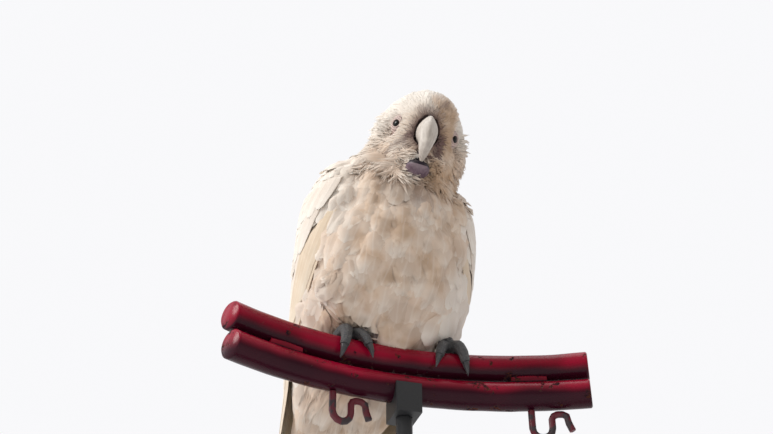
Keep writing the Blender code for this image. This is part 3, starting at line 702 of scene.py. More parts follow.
soilValues = {  # soft patches in the head: how dark, then the centre and the radii in mm
    "besideBill": (0.72, (9.6, -30.5, -11.0), (3.2, 8.0, 12.0)),
    "aboveBill": (0.42, (4.0, -32.0, 10.0), (7.0, 6.0, 3.4)),
    # painted shade under the lower bill
    "shadeUnderChin": (0.4, (3.0, -24.0, -42.0), (12.0, 14.0, 10.0)),
    "face": (0.6, (8.0, -26.0, -15.0), (21.0, 26.0, 30.0)),
    "cheek": (0.4, (22.0, -6.0, -26.0), (16.0, 22.0, 24.0)),
    "brow": (0.55, (8.0, -24.0, 16.0), (11.0, 12.0, 11.0)),
    "paleRightMuzzle": (0.4, (-22.0, -24.0, -32.0), (16.0, 15.0, 13.0)),
    "streaks": [  # how dark, from, to and how wide
        (0.5, (-9, -33, -6), (-20, -20, -19), 3.0),  # under the right eye
        (0.5, (5, -30, 15), (11, -24, 21), 2.4),  # a soiled lock over the brow
        (0.3, (19, -24, -2), (22, -18, -8), 1.8),  # under the left eye
    ],
    "leftDarker": 0.35,
}


def soiled(points, name):
    dark, centre, radii = soilValues[name]
    return dark * ellipse(points, centre, radii)


def markings(headPlace, trunkPlace, headShare):  # stain and painted shade, and lores and painted shade under the chin, at each point
    x, y, z = headPlace.T
    both = np.column_stack([np.abs(x), y, z])
    lores = soiled(both, "besideBill") * (1 + soilValues["leftDarker"] * np.sign(x))
    lores += soiled(both, "aboveBill")
    for dark, start, end, width in soilValues["streaks"]:
        lores += dark * streak(headPlace, start, end, width)
    stain = (soiled(both, "face") + soiled(both, "cheek") + soiled(headPlace, "brow") + 0.03) * headShare
    stain *= 1 + 0.45 * np.clip(x / 12, -1, 1)  # the stain mark grows towards the left side of the face
    # the stain mark is weaker on the right of the muzzle
    stain *= 1 - soiled(headPlace, "paleRightMuzzle")
    aside, behind, height = trunkPlace.T
    front = smoothStep(8, -22, behind) * smoothStep(44, 34, np.abs(aside))
    front *= 1 - 0.75 * smoothStep(-16, -32, aside) * smoothStep(70, 100, height)  # painted light: the right shoulder, where the key light falls, is kept lighter
    vent = smoothStep(-15, -45, height) * smoothStep(8, -4, behind)
    flank = smoothStep(30, -50, height) * smoothStep(20, 40, aside)
    # stain and painted shade alike: the breast front, the vent under the tail and the lower left flank,
    # which lie in shade, are darkened
    stain += (0.1 + 0.6 * front + 0.8 * vent + 0.6 * flank) * (1 - headShare)
    lores = np.clip(lores, 0, 0.9) * smoothStep(0.2, 0.7, headShare)
    lores += soiled(headPlace, "shadeUnderChin")  # painted shade: the chin lies always in shade
    return np.clip(stain, 0, 1), np.clip(lores, 0, 0.9)


skin = remeshed("skin", fleshNames, skinValues["voxel"], skinValues["swell"],
                skinValues["smoothing"], bareSkin)
skinMesh = skin.data
skinPoints, skinNormals = pointsOf(skinMesh), normalsOf(skinMesh)
near = {name: distanceTo(name, skinPoints) for name in fleshNames}
near["bill"] = np.minimum(distanceTo("bill_upper", skinPoints), distanceTo("bill_lower", skinPoints))
near["feet"] = np.minimum(distanceTo("foot_right", skinPoints), distanceTo("foot_left", skinPoints))
pull = {name: np.exp(-near[name] / skinValues["blend"]) for name in fleshNames}
total = sum(pull.values()) + 1e-9
share = {name: easedOver(skinMesh, pull[name] / total, 3) for name in fleshNames}
share["wings"] = share["wing_right"] + share["wing_left"]
share["thighs"] = share["thigh_right"] + share["thigh_left"]
inHead, inTrunk = localTo(headFrame, skinPoints), localTo(trunkFrame, skinPoints)

eyeY, eyeZ = skinValues["eyePlace"][1:]
ringUp = (inHead[:, 2] - eyeZ + skinValues["ringDrop"]) / skinValues["ringTall"]
eyeAway = np.sqrt((inHead[:, 1] - eyeY) ** 2 + ringUp**2)
eyeAway += np.where(np.abs(inHead[:, 0]) > 8, 0, 50)  # the middle of the head is far from both eyes
bareShare = smoothStep(*skinValues["eyeRing"], eyeAway) * smoothStep(0.3, 0.7, share["head"])
billGap = smoothStep(0.3, 1.2, near["bill"])
stainAndShadeMark, loresAndShadeMark = markings(inHead, inTrunk, easedOver(skinMesh, share["head"], 12))
rimmed = smoothStep(6.0, 1.0, distanceTo("bill_upper", skinPoints)) * smoothStep(-17, -12, inHead[:, 2])
loresAndShadeMark = np.maximum(loresAndShadeMark, 0.8 * rimmed)
dented = easedOver(skinMesh, skinPoints, 14) - skinPoints  # how far each point lies in a crease
dented = np.sum(dented * skinNormals, axis=1) / mm

depth = skinValues["bodyDepth"] + (skinValues["headDepth"] - skinValues["bodyDepth"]) * share["head"]
depth = easedOver(skinMesh, depth * (1 - 0.75 * bareShare), 4) + skinValues["swell"]
movePoints(skinMesh, skinPoints - skinNormals * depth[:, None] * mm)
skinPoints, skinNormals = pointsOf(skinMesh), normalsOf(skinMesh)

# The lie: back from the bill on the head, down and a little back on the rest
fromBill = unit(inHead - np.array(skinValues["billRoot"])) + np.array((0, 0.35, -0.1))
headLie = turnedFrom(headFrame, fromBill)
trunkLie = turnedFrom(trunkFrame, np.column_stack([
    inTrunk[:, 0] * 0.002,
    0.12 + 0.5 * smoothStep(5, -50, inTrunk[:, 2]),
    -np.ones(len(inTrunk)),
]))
wingLie = turnedFrom(trunkFrame, np.column_stack([
    np.zeros(len(inTrunk)), np.full(len(inTrunk), 0.42), -np.ones(len(inTrunk))]))
thighLie = np.tile((0.0, -0.1, -1.0), (len(inTrunk), 1))
lie = (
    headLie * share["head"][:, None] * 1.2
    + trunkLie * (share["neck"] + share["trunk"])[:, None]
    + wingLie * share["wings"][:, None]
    + thighLie * share["thighs"][:, None]
)
lie = easedOver(skinMesh, unit(lie), 10)
lie = unit(lie - skinNormals * np.sum(lie * skinNormals, axis=1, keepdims=True))
upNormals = unit(easedOver(skinMesh, skinNormals, 8))
forward = unit(np.array((0.0, -50.0, -22.0)) - inHead) + np.array((0, 0, -0.25))
forward = turnedFrom(headFrame, forward)
forward = unit(forward - skinNormals * np.sum(forward * skinNormals, axis=1, keepdims=True))
for name, values in {"lie": lie, "lieForward": forward, "upward": upNormals}.items():
    giveVectors(skinMesh, name, values)
for name, values in {"stain": stainAndShadeMark, "lores": loresAndShadeMark, "bare": bareShare,
                     "yellow": np.zeros(len(skinPoints))}.items():
    giveNumbers(skinMesh, name, values)

bandValues = {  # mm up the trunk where a kind of feather begins to show, and where it is full
    "neck": (96, 108),
    "nape": (100, 110),
    "back": (112, 104),
    "breastTop": (110, 100),
    "breastFoot": (18, 30),
    "belly": (32, 20),
    "vent": (-22, -34),
    "rump": (8, -4),
    "shoulders": (62, 72),
    "covertTop": (74, 64),
    "covertFoot": (2, 14),
}
ruffValues = [  # where the cheek fluff hangs: centre and radii in mm, and whether on both sides
    ((26, 0, -12), (10, 18, 22), True),
    ((24, -8, -34), (14, 24, 12), True),
    ((-20, -24, -34), (17, 15, 12), False),
    ((10, -22, -34), (18, 16, 9), False),
]

behind, height = inTrunk[:, 1], inTrunk[:, 2]
eyeRoom = eyeAway + 20 * (1 - smoothStep(0.3, 0.7, share["head"]))  # the ring is on the head alone
clear = billGap * smoothStep(5.2, 6.2, eyeRoom)
clear *= smoothStep(2.5, 5.0, near["feet"]) * np.maximum(smoothStep(1.3, 0.6, dented), behind > 12)
faceAway = np.linalg.norm(inHead - np.array((0, -30, -8)), axis=1)
faceNear = np.minimum(faceAway, 14 + eyeAway * 0.9)  # mm from the face, eyes counted as near
onHead = smoothStep(0.35, 0.6, share["head"])
offHead = smoothStep(0.85, 0.65, share["head"])
bladeEdge = smoothStep(0.0, 0.08, wingPlace(inTrunk) - 0.24 * smoothStep(104, 84, height))
onWings = smoothStep(0.4, 0.65, share["wings"]) * bladeEdge
onBody = smoothStep(0.3, 0.6, share["trunk"] + share["neck"])
nearHead = smoothStep(0.1, 0.4, share["head"] + share["neck"])
frontSide = smoothStep(12, 2, behind)
atNape = smoothStep(2, 12, behind)
ankles = smoothStep(23, 15, near["feet"])  # small down instead of broad feathers where the legs come out
muzzle = smoothStep(14, 9, distanceTo("bill_lower", skinPoints)) * smoothStep(-14, -19, inHead[:, 2])
billFree = smoothStep(0.5, 1.5, near["bill"])
underTail = smoothStep(0, -25, height) * smoothStep(-2, 6, behind)
bothSides = np.column_stack([np.abs(inHead[:, 0]), inHead[:, 1], inHead[:, 2]])
hanging = sum(ellipse(bothSides if both else inHead, centre, radii) for centre, radii, both in ruffValues)
onRuff = nearHead * smoothStep(0.3, 0.1, share["wings"]) * np.clip(hanging, 0, 1)
band = {name: smoothStep(*ends, height) for name, ends in bandValues.items()}
patches = {  # where each piece of the coat grows
    "onFace": onHead * smoothStep(30, 24, faceNear),
    "onCrown": onHead * smoothStep(22, 28, faceNear),
    "onMuzzle": muzzle * nearHead,
    "onRuff": onRuff,
    "onNape": band["nape"] * offHead * atNape * (1 - onWings) * (1 - onRuff),
    "onNeck": band["neck"] * offHead * (1 - onWings) * (1 - onRuff) * (1 - atNape),
    "onBreast": onBody * band["breastTop"] * band["breastFoot"] * frontSide * (1 - ankles),
    "onBelly": onBody * band["belly"] * smoothStep(45, 35, behind) * (1 - ankles) * (1 - underTail),
    "onVent": onBody * band["vent"] * smoothStep(3, -5, behind),
    "onBack": onBody * band["back"] * (1 - frontSide),
    "onRump": onBody * band["rump"] * smoothStep(2, 8, behind),
    "onThighs": smoothStep(0.3, 0.5, share["thighs"]) * (1 - ankles),
    "onAnkles": ankles * smoothStep(0.3, 0.6, share["trunk"] + share["thighs"]),
    "onShoulders": onWings * band["shoulders"],
    "onCoverts": onWings * band["covertTop"] * band["covertFoot"],
}
for patch, mask in patches.items():
    giveNumbers(skinMesh, patch, mask * (billFree if patch == "onMuzzle" else clear))
sizeOver = np.clip(0.55 + (faceNear / 42) ** 2, 0.55, 1.7) * np.clip((eyeAway - 1) / 9, 0.45, 1)
sizeOver = sizeOver * onHead + (1 - onHead)
sizeOver *= 1 + 0.5 * ellipse(inHead, (-12, -28, -30), (9, 12, 12))  # the fuller right side of the muzzle
giveNumbers(skinMesh, "sizing", easedOver(skinMesh, sizeOver, 4))

bpy.context.view_layer.objects.active = skin
skin.select_set(True)
skinMesh.uv_layers.new(name="OFBake")
bpy.ops.object.mode_set(mode="EDIT")
bpy.ops.mesh.select_all(action="SELECT")
bpy.ops.uv.smart_project(angle_limit=1.15, island_margin=0.004)
bpy.ops.object.mode_set(mode="OBJECT")
skin.select_set(False)
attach(skin, "root")
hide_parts(*fleshNames)
print("skin made:", len(skinMesh.polygons), "faces")


# Coat: feathers set along the skin by one node tree


def featherShape(name, columns, rows, jag, taper, blunt, seed):  # a vane or tuft one unit long
    pick = random.Random(seed)
    ends = []  # how far each column of the vane reaches
    for j in range(columns):
        v = 2 * j / (columns - 1) - 1
        ends.append(1 - (1 - blunt) * abs(v) ** 2.2 - jag * pick.random() - (jag if j % 2 else 0))
    lean = pick.uniform(-0.08, 0.08)
    points, along, across, camber = [], [], [], []
    for i in range(rows):
        t = i / (rows - 1)
        wide = (0.3 + 0.7 * min(t / 0.45, 1) ** 0.8) * (1 - taper * max(t - 0.45, 0) / 0.55)
        for j in range(columns):
            v = 2 * j / (columns - 1) - 1
            pinch = 1 + (0.16 if j % 2 else -0.06) * jag * 4 * (i == rows - 1)
            points.append((0.5 * v * wide * pinch + lean * t * t, t * ends[j], 0.0))
            along.append(t * ends[j])
            across.append(v)
            camber.append((1 - v * v) * math.sin(math.pi * min(0.15 + 0.8 * t, 1)))
    faces = []
    for i in range(rows - 1):
        for j in range(columns - 1):
            a = i * columns + j
            faces.append((a, a + 1, a + columns + 1, a + columns))
        if i < rows - 2:  # flat strips close the underside
            a, b = i * columns, (i + 1) * columns
            faces.append((a, b, b + columns - 1, a + columns - 1))
    last = (rows - 1) * columns
    before = last - columns
    faces.append((before, *range(last, last + columns), before + columns - 1))
    faces.append((0, *range(columns - 1, 0, -1)))
    mesh = meshOf(name, points, faces)
    rim = set()  # its edges are sharp, so that the top shades apart from the underside
    for i in range(rows - 1):
        rim.add((i * columns, (i + 1) * columns))
        rim.add((i * columns + columns - 1, (i + 1) * columns + columns - 1))
    for j in range(columns - 1):
        rim.add((j, j + 1))
        rim.add((last + j, last + j + 1))
    sharp = [tuple(sorted(edge.vertices)) in rim for edge in mesh.edges]
    mesh.attributes.new("sharp_edge", "BOOLEAN", "EDGE").data.foreach_set("value", sharp)
    mesh.polygons.foreach_set("use_smooth", [True] * len(mesh.polygons))
    for mark, values in {"along": along, "across": across, "camber": camber}.items():
        giveNumbers(mesh, mark, values)
    return bpy.data.objects.new(name, mesh)


def featherGroup(name, count, **shape):
    group = bpy.data.collections.new(name)
    for k in range(count):
        group.objects.link(featherShape(f"{name}{k}", seed=31 * k + 7, **shape))
    return group


vanes = featherGroup("vanes", 5, columns=7, rows=5, jag=0.04, taper=0.25, blunt=0.66)
puffs = featherGroup("puffs", 5, columns=9, rows=5, jag=0.012, taper=0.15, blunt=0.5)
locks = featherGroup("locks", 5, columns=5, rows=4, jag=0.1, taper=0.65, blunt=0.6)
tufts = featherGroup("tufts", 5, columns=5, rows=4, jag=0.05, taper=0.4, blunt=0.5)


def coatTree():
    tree = bpy.data.node_groups.new("feathersAlongSkin", "GeometryNodeTree")
    kinds = {
        "Skin": "Geometry", "Where": "String", "Lie": "String", "Feathers": "Collection",
        "Finish": "Material", "Spacing": "Float", "Density": "Float", "Length": "Float",
        "Width": "Float", "Base": "Float", "Rise": "Float", "Camber": "Float", "Puff": "Float",
        "Tilt": "Float", "Yaw": "Float", "Vary": "Float", "Hug": "Float", "Seed": "Int",
    }
    for name, kind in kinds.items():
        tree.interface.new_socket(name=name, in_out="INPUT", socket_type="NodeSocket" + kind)
    tree.interface.new_socket(name="Coat", in_out="OUTPUT", socket_type="NodeSocketGeometry")
    add = partial(addNode, tree)
    given = add("NodeGroupInput").node.outputs
    where = add("GeometryNodeInputNamedAttribute", (given["Where"],), data_type="FLOAT")
    lie = add("GeometryNodeInputNamedAttribute", (given["Lie"],), data_type="FLOAT_VECTOR")
    numbers = ("sizing", "size", "along", "across", "camber", "layer")
    marks = {mark: add("GeometryNodeInputNamedAttribute", (mark,),
                       data_type="FLOAT" if mark in numbers else "FLOAT_VECTOR")
             for mark in (*numbers, "upward", "rootUv", "OFBake")}
    draws = {}
    limits = {"tint": (0.0, 1.0), "vary": (-1.0, 1.0), "layer": (0.0, 0.00035), "yaw": (-1.0, 1.0),
              "lift": (0.4, 1.0), "wide": (0.8, 1.15)}
    for salt, (draw, (low, high)) in enumerate(limits.items(), 11):
        seed = add("FunctionNodeIntegerMath", (given["Seed"], salt))
        draws[draw] = add("FunctionNodeRandomValue", {2: low, 3: high, 8: seed}, out=1, data_type="FLOAT")

    # one point for each feather, which carries what its colour and shape will need
    swing = add("ShaderNodeMath", (given["Vary"], draws["vary"], 1.0), operation="MULTIPLY_ADD")
    size = add("ShaderNodeMath", (marks["sizing"], swing), operation="MULTIPLY")
    length = add("ShaderNodeMath", (size, given["Length"]), operation="MULTIPLY")
    inMm = add("ShaderNodeMath", (length, 1000.0), operation="MULTIPLY")
    points = add("GeometryNodeDistributePointsOnFaces", {
        0: given["Skin"], 2: given["Spacing"], 3: given["Density"], 5: where, 6: given["Seed"]},
                 distribute_method="POISSON")
    stored = {"rootUv": marks["OFBake"], "tint": draws["tint"], "size": size, "layer": draws["layer"],
              "lengthMm": inMm}
    for name, value in stored.items():
        points = add("GeometryNodeStoreNamedAttribute", {0: points, 2: name, 3: value},
                     data_type="FLOAT_VECTOR" if name == "rootUv" else "FLOAT", domain="POINT")

    # each feather is turned along the lie, tipped outwards and sized
    yaw = add("ShaderNodeMath", (given["Yaw"], draws["yaw"]), operation="MULTIPLY")
    turned = add("ShaderNodeVectorRotate", {0: lie, 2: marks["upward"], 3: yaw},
                 rotation_type="AXIS_ANGLE")
    lift = add("ShaderNodeMath", (given["Tilt"], draws["lift"]), operation="MULTIPLY")
    heading = add("ShaderNodeVectorMath", (marks["upward"], lift, turned), operation="MULTIPLY_ADD")
    aim = add("FunctionNodeAxesToRotation", (heading, marks["upward"]),
              primary_axis="Y", secondary_axis="Z")
    wide = add("ShaderNodeMath", (size, given["Width"]), operation="MULTIPLY")
    width = add("ShaderNodeMath", (wide, draws["wide"]), operation="MULTIPLY")
    scale = add("ShaderNodeCombineXYZ", (width, length, length))
    shapes = add("GeometryNodeCollectionInfo", (given["Feathers"], True, True))
    which = add("FunctionNodeRandomValue", {4: 0, 5: 9, 8: given["Seed"]}, out=2,
                data_type="INT")  # wraps round the group's five shapes
    placed = add("GeometryNodeInstanceOnPoints", {
        0: points, 2: shapes, 3: True, 4: which, 5: aim, 6: scale})
    made = add("GeometryNodeRealizeInstances", (placed,))

    # its points are then laid over the skin: raised, cupped and puffed
    place = add("GeometryNodeInputPosition")
    foot = add("GeometryNodeSampleNearestSurface", {0: given["Skin"], 1: place, 3: place},
               data_type="FLOAT_VECTOR")  # the skin below each point of a feather
    leaning = add("GeometryNodeSampleNearestSurface", {0: given["Skin"], 1: marks["upward"], 3: place},
                  data_type="FLOAT_VECTOR")
    outward = add("ShaderNodeVectorMath", (leaning,), operation="NORMALIZE")
    bend = add("ShaderNodeMath", (marks["along"], 1.2), operation="POWER")
    rise = add("ShaderNodeMath", (bend, given["Rise"]), operation="MULTIPLY")
    arch = add("ShaderNodeMath", (marks["camber"], given["Camber"]), operation="MULTIPLY")
    shaped = add("ShaderNodeMath", (rise, arch), operation="ADD")
    sized = add("ShaderNodeMath", (shaped, marks["size"], marks["layer"]), operation="MULTIPLY_ADD")
    lumps = add("ShaderNodeTexNoise", {"Vector": foot, "Scale": every(lobeSize), "Detail": 1.0})
    puffed = add("ShaderNodeMapRange", (lumps, 0.35, 0.62), **smooth)
    puff = add("ShaderNodeMath", (puffed, given["Puff"], given["Base"]), operation="MULTIPLY_ADD")
    height = add("ShaderNodeMath", (sized, puff), operation="ADD")
    hugged = add("ShaderNodeVectorMath", (outward, height, foot), operation="MULTIPLY_ADD")
    free = add("ShaderNodeVectorMath", (outward, arch, place), operation="MULTIPLY_ADD")
    onTo = add("ShaderNodeMix", {0: given["Hug"], 4: free, 5: hugged}, out=1, data_type="VECTOR")
    made = add("GeometryNodeSetPosition", {0: made, 2: onTo})

    # a patch of the skin's unwrap about 0.003 across for each feather
    sideways = add("ShaderNodeMath", (marks["across"], 0.0015), operation="MULTIPLY")
    onwards = add("ShaderNodeMath", (marks["along"], 0.003), operation="MULTIPLY")
    patch = add("ShaderNodeCombineXYZ", (sideways, onwards))
    spot = add("ShaderNodeVectorMath", (marks["rootUv"], patch), operation="ADD")
    made = add("GeometryNodeStoreNamedAttribute", {0: made, 2: "OFBake", 3: spot},
               data_type="FLOAT2", domain="CORNER")
    made = add("GeometryNodeSetMaterial", {0: made, 2: given["Finish"]})
    add("NodeGroupOutput", (made,))
    return tree


coat = coatTree()


def growCoat(name, where, feathers, seed, lieName="lie", **sizes):  # sizes in mm, angles in degrees
    piece = bpy.data.objects.new(name, skinMesh)
    scene.collection.objects.link(piece)
    grow = piece.modifiers.new("feathers", "NODES")
    grow.node_group = coat
    values = {"Where": where, "Lie": lieName, "Feathers": feathers, "Finish": plumage, "Seed": seed}
    for key, value in sizes.items():
        title = key[0].upper() + key[1:]
        if title in ("Spacing", "Length", "Width", "Base", "Rise", "Camber", "Puff"):
            value = value * mm
        elif title == "Yaw":
            value = math.radians(value)
        elif title == "Tilt":
            value = math.tan(math.radians(value))
        values[title] = float(value)
    for item in coat.interface.items_tree:
        if item.in_out == "INPUT" and item.name in values:
            grow[item.identifier] = values[item.name]
    mesh = settled(piece)
    mesh.name = name
    for extra in ("lie", "lieForward", "upward", "rootUv", "layer", "size", "sizing", "camber", *patches):
        if extra in mesh.attributes:
            mesh.attributes.remove(mesh.attributes[extra])
    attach(piece, "root")
    print(name, "grown:", len(mesh.loops) - 2 * len(mesh.polygons), "triangles")


# Roots stand apart by spacing; tips rise, vanes are cupped by camber, lobes swell by puff, all in mm.
# A hug of 1 keeps the whole feather on the skin, and 0 lets it stand straight out along the lie.
coatValues = {
    "faceDown": dict(where="onFace", feathers=tufts, seed=3, spacing=0.72, density=4e6, length=6.4,
                     width=1.8, base=0.1, rise=1.0, camber=0.25, puff=0.8, tilt=8, yaw=22, vary=0.3,
                     hug=0.88),
    "crownDown": dict(where="onCrown", feathers=tufts, seed=5, spacing=1.1, density=2e6, length=10.0,
                      width=2.6, base=0.1, rise=1.1, camber=0.4, puff=1.4, tilt=6, yaw=16, vary=0.3,
                      hug=0.92),
    "muzzleDown": dict(where="onMuzzle", lieName="lieForward", feathers=tufts, seed=4, spacing=0.8,
                       density=4e6, length=10.0, width=1.5, base=0.1, rise=2.4, camber=0.4, puff=1.2,
                       tilt=16, yaw=24, vary=0.4, hug=0.5),
    "cheekRuff": dict(where="onRuff", feathers=locks, seed=6, spacing=1.25, density=1.5e6, length=11.0,
                      width=2.2, base=0.8, rise=3.2, camber=0.6, puff=2.8, tilt=14, yaw=24, vary=0.45,
                      hug=0.7),
    "napeDown": dict(where="onNape", feathers=tufts, seed=7, spacing=1.8, density=1e6, length=15.0,
                     width=5.0, base=0.1, rise=1.6, camber=0.6, puff=1.6, tilt=6, yaw=16, vary=0.3,
                     hug=0.94),
    "neckCoat": dict(where="onNeck", feathers=puffs, seed=8, spacing=2.9, density=3e5, length=16.0,
                     width=11.0, base=0.1, rise=1.7, camber=1.6, puff=3.2, tilt=5, yaw=14, vary=0.25,
                     hug=0.95),
    "breastCoat": dict(where="onBreast", feathers=puffs, seed=13, spacing=4.3, density=1.5e5, length=24.0,
                       width=19.0, base=0.1, rise=2.0, camber=2.2, puff=4.2, tilt=5, yaw=14, vary=0.25,
                       hug=0.94),
    "bellyCoat": dict(where="onBelly", feathers=puffs, seed=21, spacing=4.0, density=1.5e5, length=25.0,
                      width=15.0, base=0.1, rise=2.2, camber=2.0, puff=2.4, tilt=6, yaw=14, vary=0.25,
                      hug=0.72),
    "bellyWisps": dict(where="onBelly", feathers=locks, seed=22, spacing=2.6, density=4e5, length=17.0,
                       width=3.6, base=1.5, rise=2.2, camber=0.6, puff=2.4, tilt=5, yaw=16, vary=0.35,
                       hug=0.75),
    "ventCoat": dict(where="onVent", feathers=puffs, seed=23, spacing=4.4, density=1e5, length=40.0,
                     width=16.0, base=0.1, rise=3.0, camber=2.2, puff=1.0, tilt=4, yaw=9, vary=0.2,
                     hug=0.15),
    "backCoat": dict(where="onBack", feathers=vanes, seed=34, spacing=4.6, density=1e5, length=27.0,
                     width=18.0, base=0.1, rise=2.2, camber=1.3, puff=0.8, tilt=4, yaw=7, vary=0.15,
                     hug=0.96),
    "rumpCoat": dict(where="onRump", feathers=vanes, seed=24, spacing=4.2, density=1e5, length=38.0,
                     width=16.0, base=0.3, rise=2.0, camber=1.4, puff=0.0, tilt=2, yaw=7, vary=0.2,
                     hug=0.6),
    "thighCoat": dict(where="onThighs", feathers=puffs, seed=55, spacing=3.0, density=3e5, length=18.0,
                      width=10.0, base=0.1, rise=1.6, camber=1.6, puff=1.2, tilt=3, yaw=12, vary=0.25,
                      hug=0.88),
    "ankleDown": dict(where="onAnkles", feathers=tufts, seed=56, spacing=1.8, density=1e6, length=12.0,
                      width=4.6, base=0.1, rise=1.4, camber=0.6, puff=1.8, tilt=6, yaw=18, vary=0.3,
                      hug=0.9),
    "shoulderCoat": dict(where="onShoulders", feathers=puffs, seed=89, spacing=3.2, density=2.5e5,
                         length=15.0, width=10.0, base=0.1, rise=1.7, camber=1.0, puff=1.0, tilt=3, yaw=9,
                         vary=0.2, hug=0.97),
    "covertCoat": dict(where="onCoverts", feathers=vanes, seed=144, spacing=4.4, density=1e5, length=22.0,
                       width=13.0, base=0.1, rise=1.2, camber=0.5, puff=0.0, tilt=2, yaw=5, vary=0.12,
                       hug=0.98),
}
for name, values in coatValues.items():
    growCoat(name, **values)


# Large feathers, each lofted over the surface it lies on


def wingSurface(side):
    def surface(z, u, height):  # u runs 0 to 1 from front to back; a negative height is tenths inwards
        axisX, axisY, half, front, back = (
            np.interp(z, wrapTable[0], wrapTable[1][:, k]) for k in range(5)
        )
        first, last, thick = (np.interp(z, wingTable[0], wingTable[1][:, k]) for k in range(3))
        angle = np.radians(first + (last - first) * u)
        power = 2.6 - 0.45 * smoothStep(-15, 15, z)
        c, s = np.cos(angle), np.sin(angle)
        reach = (np.abs(c) ** power + np.abs(s) ** power) ** (-1 / power)
        edge = np.sin(np.pi * np.clip(u, 0.02, 0.98)) ** 0.6
        outer = 2.0 + (thick - 0.9) * edge
        sunk = 1.1 + (outer - 1.1) * (1 + 0.1 * np.minimum(height, 0))
        sunk = sunk - 8 * np.maximum(-0.1 * height - 0.5, 0)  # a tucked root goes right into the down
        swell = sunk + np.maximum(height, 0)
        deep = np.where(s > 0, back, front)
        x = side * (half + swell) * c * reach + axisX
        return np.stack([x, axisY + (deep + swell) * s * reach, z + 0 * x], axis=-1)

    return surface, trunkFrame, 0.01


def tailSurface():
    def surface(z, u, height):  # u in mm from the middle; the fan is slightly roofed
        behind = np.interp(z, (-133, -70, -6), (13.5, 12.6, 10.5))
        drop = 0.006 * u * u
        return np.stack([u + 0 * z, behind - drop + height, z + 0 * u], axis=-1)

    return surface, trunkFrame, 0.5


crestStations = [(-6, 33.4), (2, 34.2), (8, 34.6), (18, 32.4), (28, 25.4), (36, 16.0), (42, 6.5)]


def crestSurface():
    keys, heights = dense(crestStations, 80)

    def surface(y, u, height):  # u in mm from the middle of the crown
        top = np.interp(y, keys, heights[:, 0]) - 0.022 * u * u
        slope = np.gradient(heights[:, 0], keys)
        tilt = np.arctan(np.interp(y, keys, slope))
        return np.stack([u + 0 * y, y - height * np.sin(tilt), top + height * np.cos(tilt)], axis=-1)

    return surface, headFrame, 0.5


vaneColumns = np.array([-1, -0.82, -0.5, -0.2, -0.07, 0, 0.07, 0.2, 0.5, 0.82, 1.0])


def vaneFaces(rows):  # a top, an underside and the rim between them
    columns = len(vaneColumns)
    count = rows * columns
    faces = []
    for i in range(rows - 1):
        for j in range(columns - 1):
            a = i * columns + j
            faces.append((a, a + 1, a + columns + 1, a + columns))
            faces.append((count + a, count + a + columns, count + a + columns + 1, count + a + 1))
    loop = [
        *range(columns),
        *(i * columns + columns - 1 for i in range(1, rows)),
        *((rows - 1) * columns + j for j in range(columns - 2, -1, -1)),
        *(i * columns for i in range(rows - 2, 0, -1)),
    ]
    for a, b in zip(loop, loop[1:] + loop[:1]):
        faces.append((b, a, count + a, count + b))
    return faces


def vaneShape(on, root, tip, width, low, high, seed, rows=26, camber=0.8, point=0.5, lopsided=0.0,
              thick=0.3, yellow=(0.1, 0.6), stain=0.0, neck=0.5):
    # root and tip are places on the surface; low is the height of the tucked root, high of the rest
    surface, bodyFrame, step = on
    pick = np.random.default_rng(seed)
    t = np.linspace(0, 1, rows)[:, None]
    v = vaneColumns[None, :]
    ends = [surface(np.array(end[0]), np.array(end[1]), 0) for end in (tip, root)]
    length = float(np.linalg.norm(ends[0] - ends[1]))
    rounding = point * width / max(length, 1)
    rag = 1 + 0.012 * pick.standard_normal(vaneColumns.shape)[None, :] * smoothStep(0.6, 1.0, t)
    run = t * (1 - rounding * (1 - np.sqrt(1 - 0.96 * v**2))) * rag
    wide = (neck + (1 - neck) * smoothStep(0, 0.35, t)) * (1 - 0.2 * smoothStep(0.7, 1.0, t))
    for _ in range(3):  # splits where barbs have parted
        at, which = pick.uniform(0.35, 0.95), pick.choice((-1, 1))
        wide = wide * (1 - 0.1 * np.exp(-(((t - at) / 0.02) ** 2)) * (v * which > 0.4))
    along = root[0] + (tip[0] - root[0]) * run
    middle = root[1] + (tip[1] - root[1]) * run
    perUnit = np.linalg.norm(surface(along, middle + step, 0) - surface(along, middle - step, 0), axis=-1)
    perUnit = perUnit / (2 * step)  # mm across the surface
    off = 0.5 * width * wide * (v + lopsided * np.abs(v))
    place = middle + off / np.maximum(perUnit, 1e-3)
    ridge = 0.28 * np.exp(-((v / 0.06) ** 2)) * (1 - 0.6 * t)  # the shaft
    over = high + (low - high) * smoothStep(0.2, 0.0, t) + camber * (1 - v**2) * wide + ridge
    top = surface(along, place, over).reshape(-1, 3)
    under = surface(along, place, over - thick - ridge).reshape(-1, 3)
    points = worldFrom(bodyFrame, np.concatenate([top, under]))
    count = len(top)
    marks = {
        "along": np.tile(run.ravel(), 2),
        "across": np.tile((v + 0 * run).ravel(), 2),
        "tint": np.full(2 * count, pick.uniform(0.3, 1.0)),
        "stain": np.full(2 * count, stain),
        "lores": np.zeros(2 * count),
        "yellow": np.repeat(yellow, count),
        "lengthMm": np.full(2 * count, length),
    }
    return points, vaneFaces(rows), marks


def unwrapVanes(mesh, shapes):  # each feather has its own cell, the top beside the underside
    cells = math.ceil(math.sqrt(len(shapes)))
    spots = []
    for k, (points, _, marks) in enumerate(shapes):
        under = np.repeat((0, 1), len(points) // 2)
        spots.append(np.column_stack([
            (k % cells + 0.25 + 0.5 * under + 0.2 * marks["across"]) / cells,
            (k // cells + 0.05 + 0.85 * marks["along"]) / cells,
        ]))
    index = np.empty(len(mesh.loops), np.int32)
    mesh.loops.foreach_get("vertex_index", index)
    layer = mesh.uv_layers.new(name="OFBake").data
    layer.foreach_set("uv", np.concatenate(spots)[index].astype(np.float32).ravel())


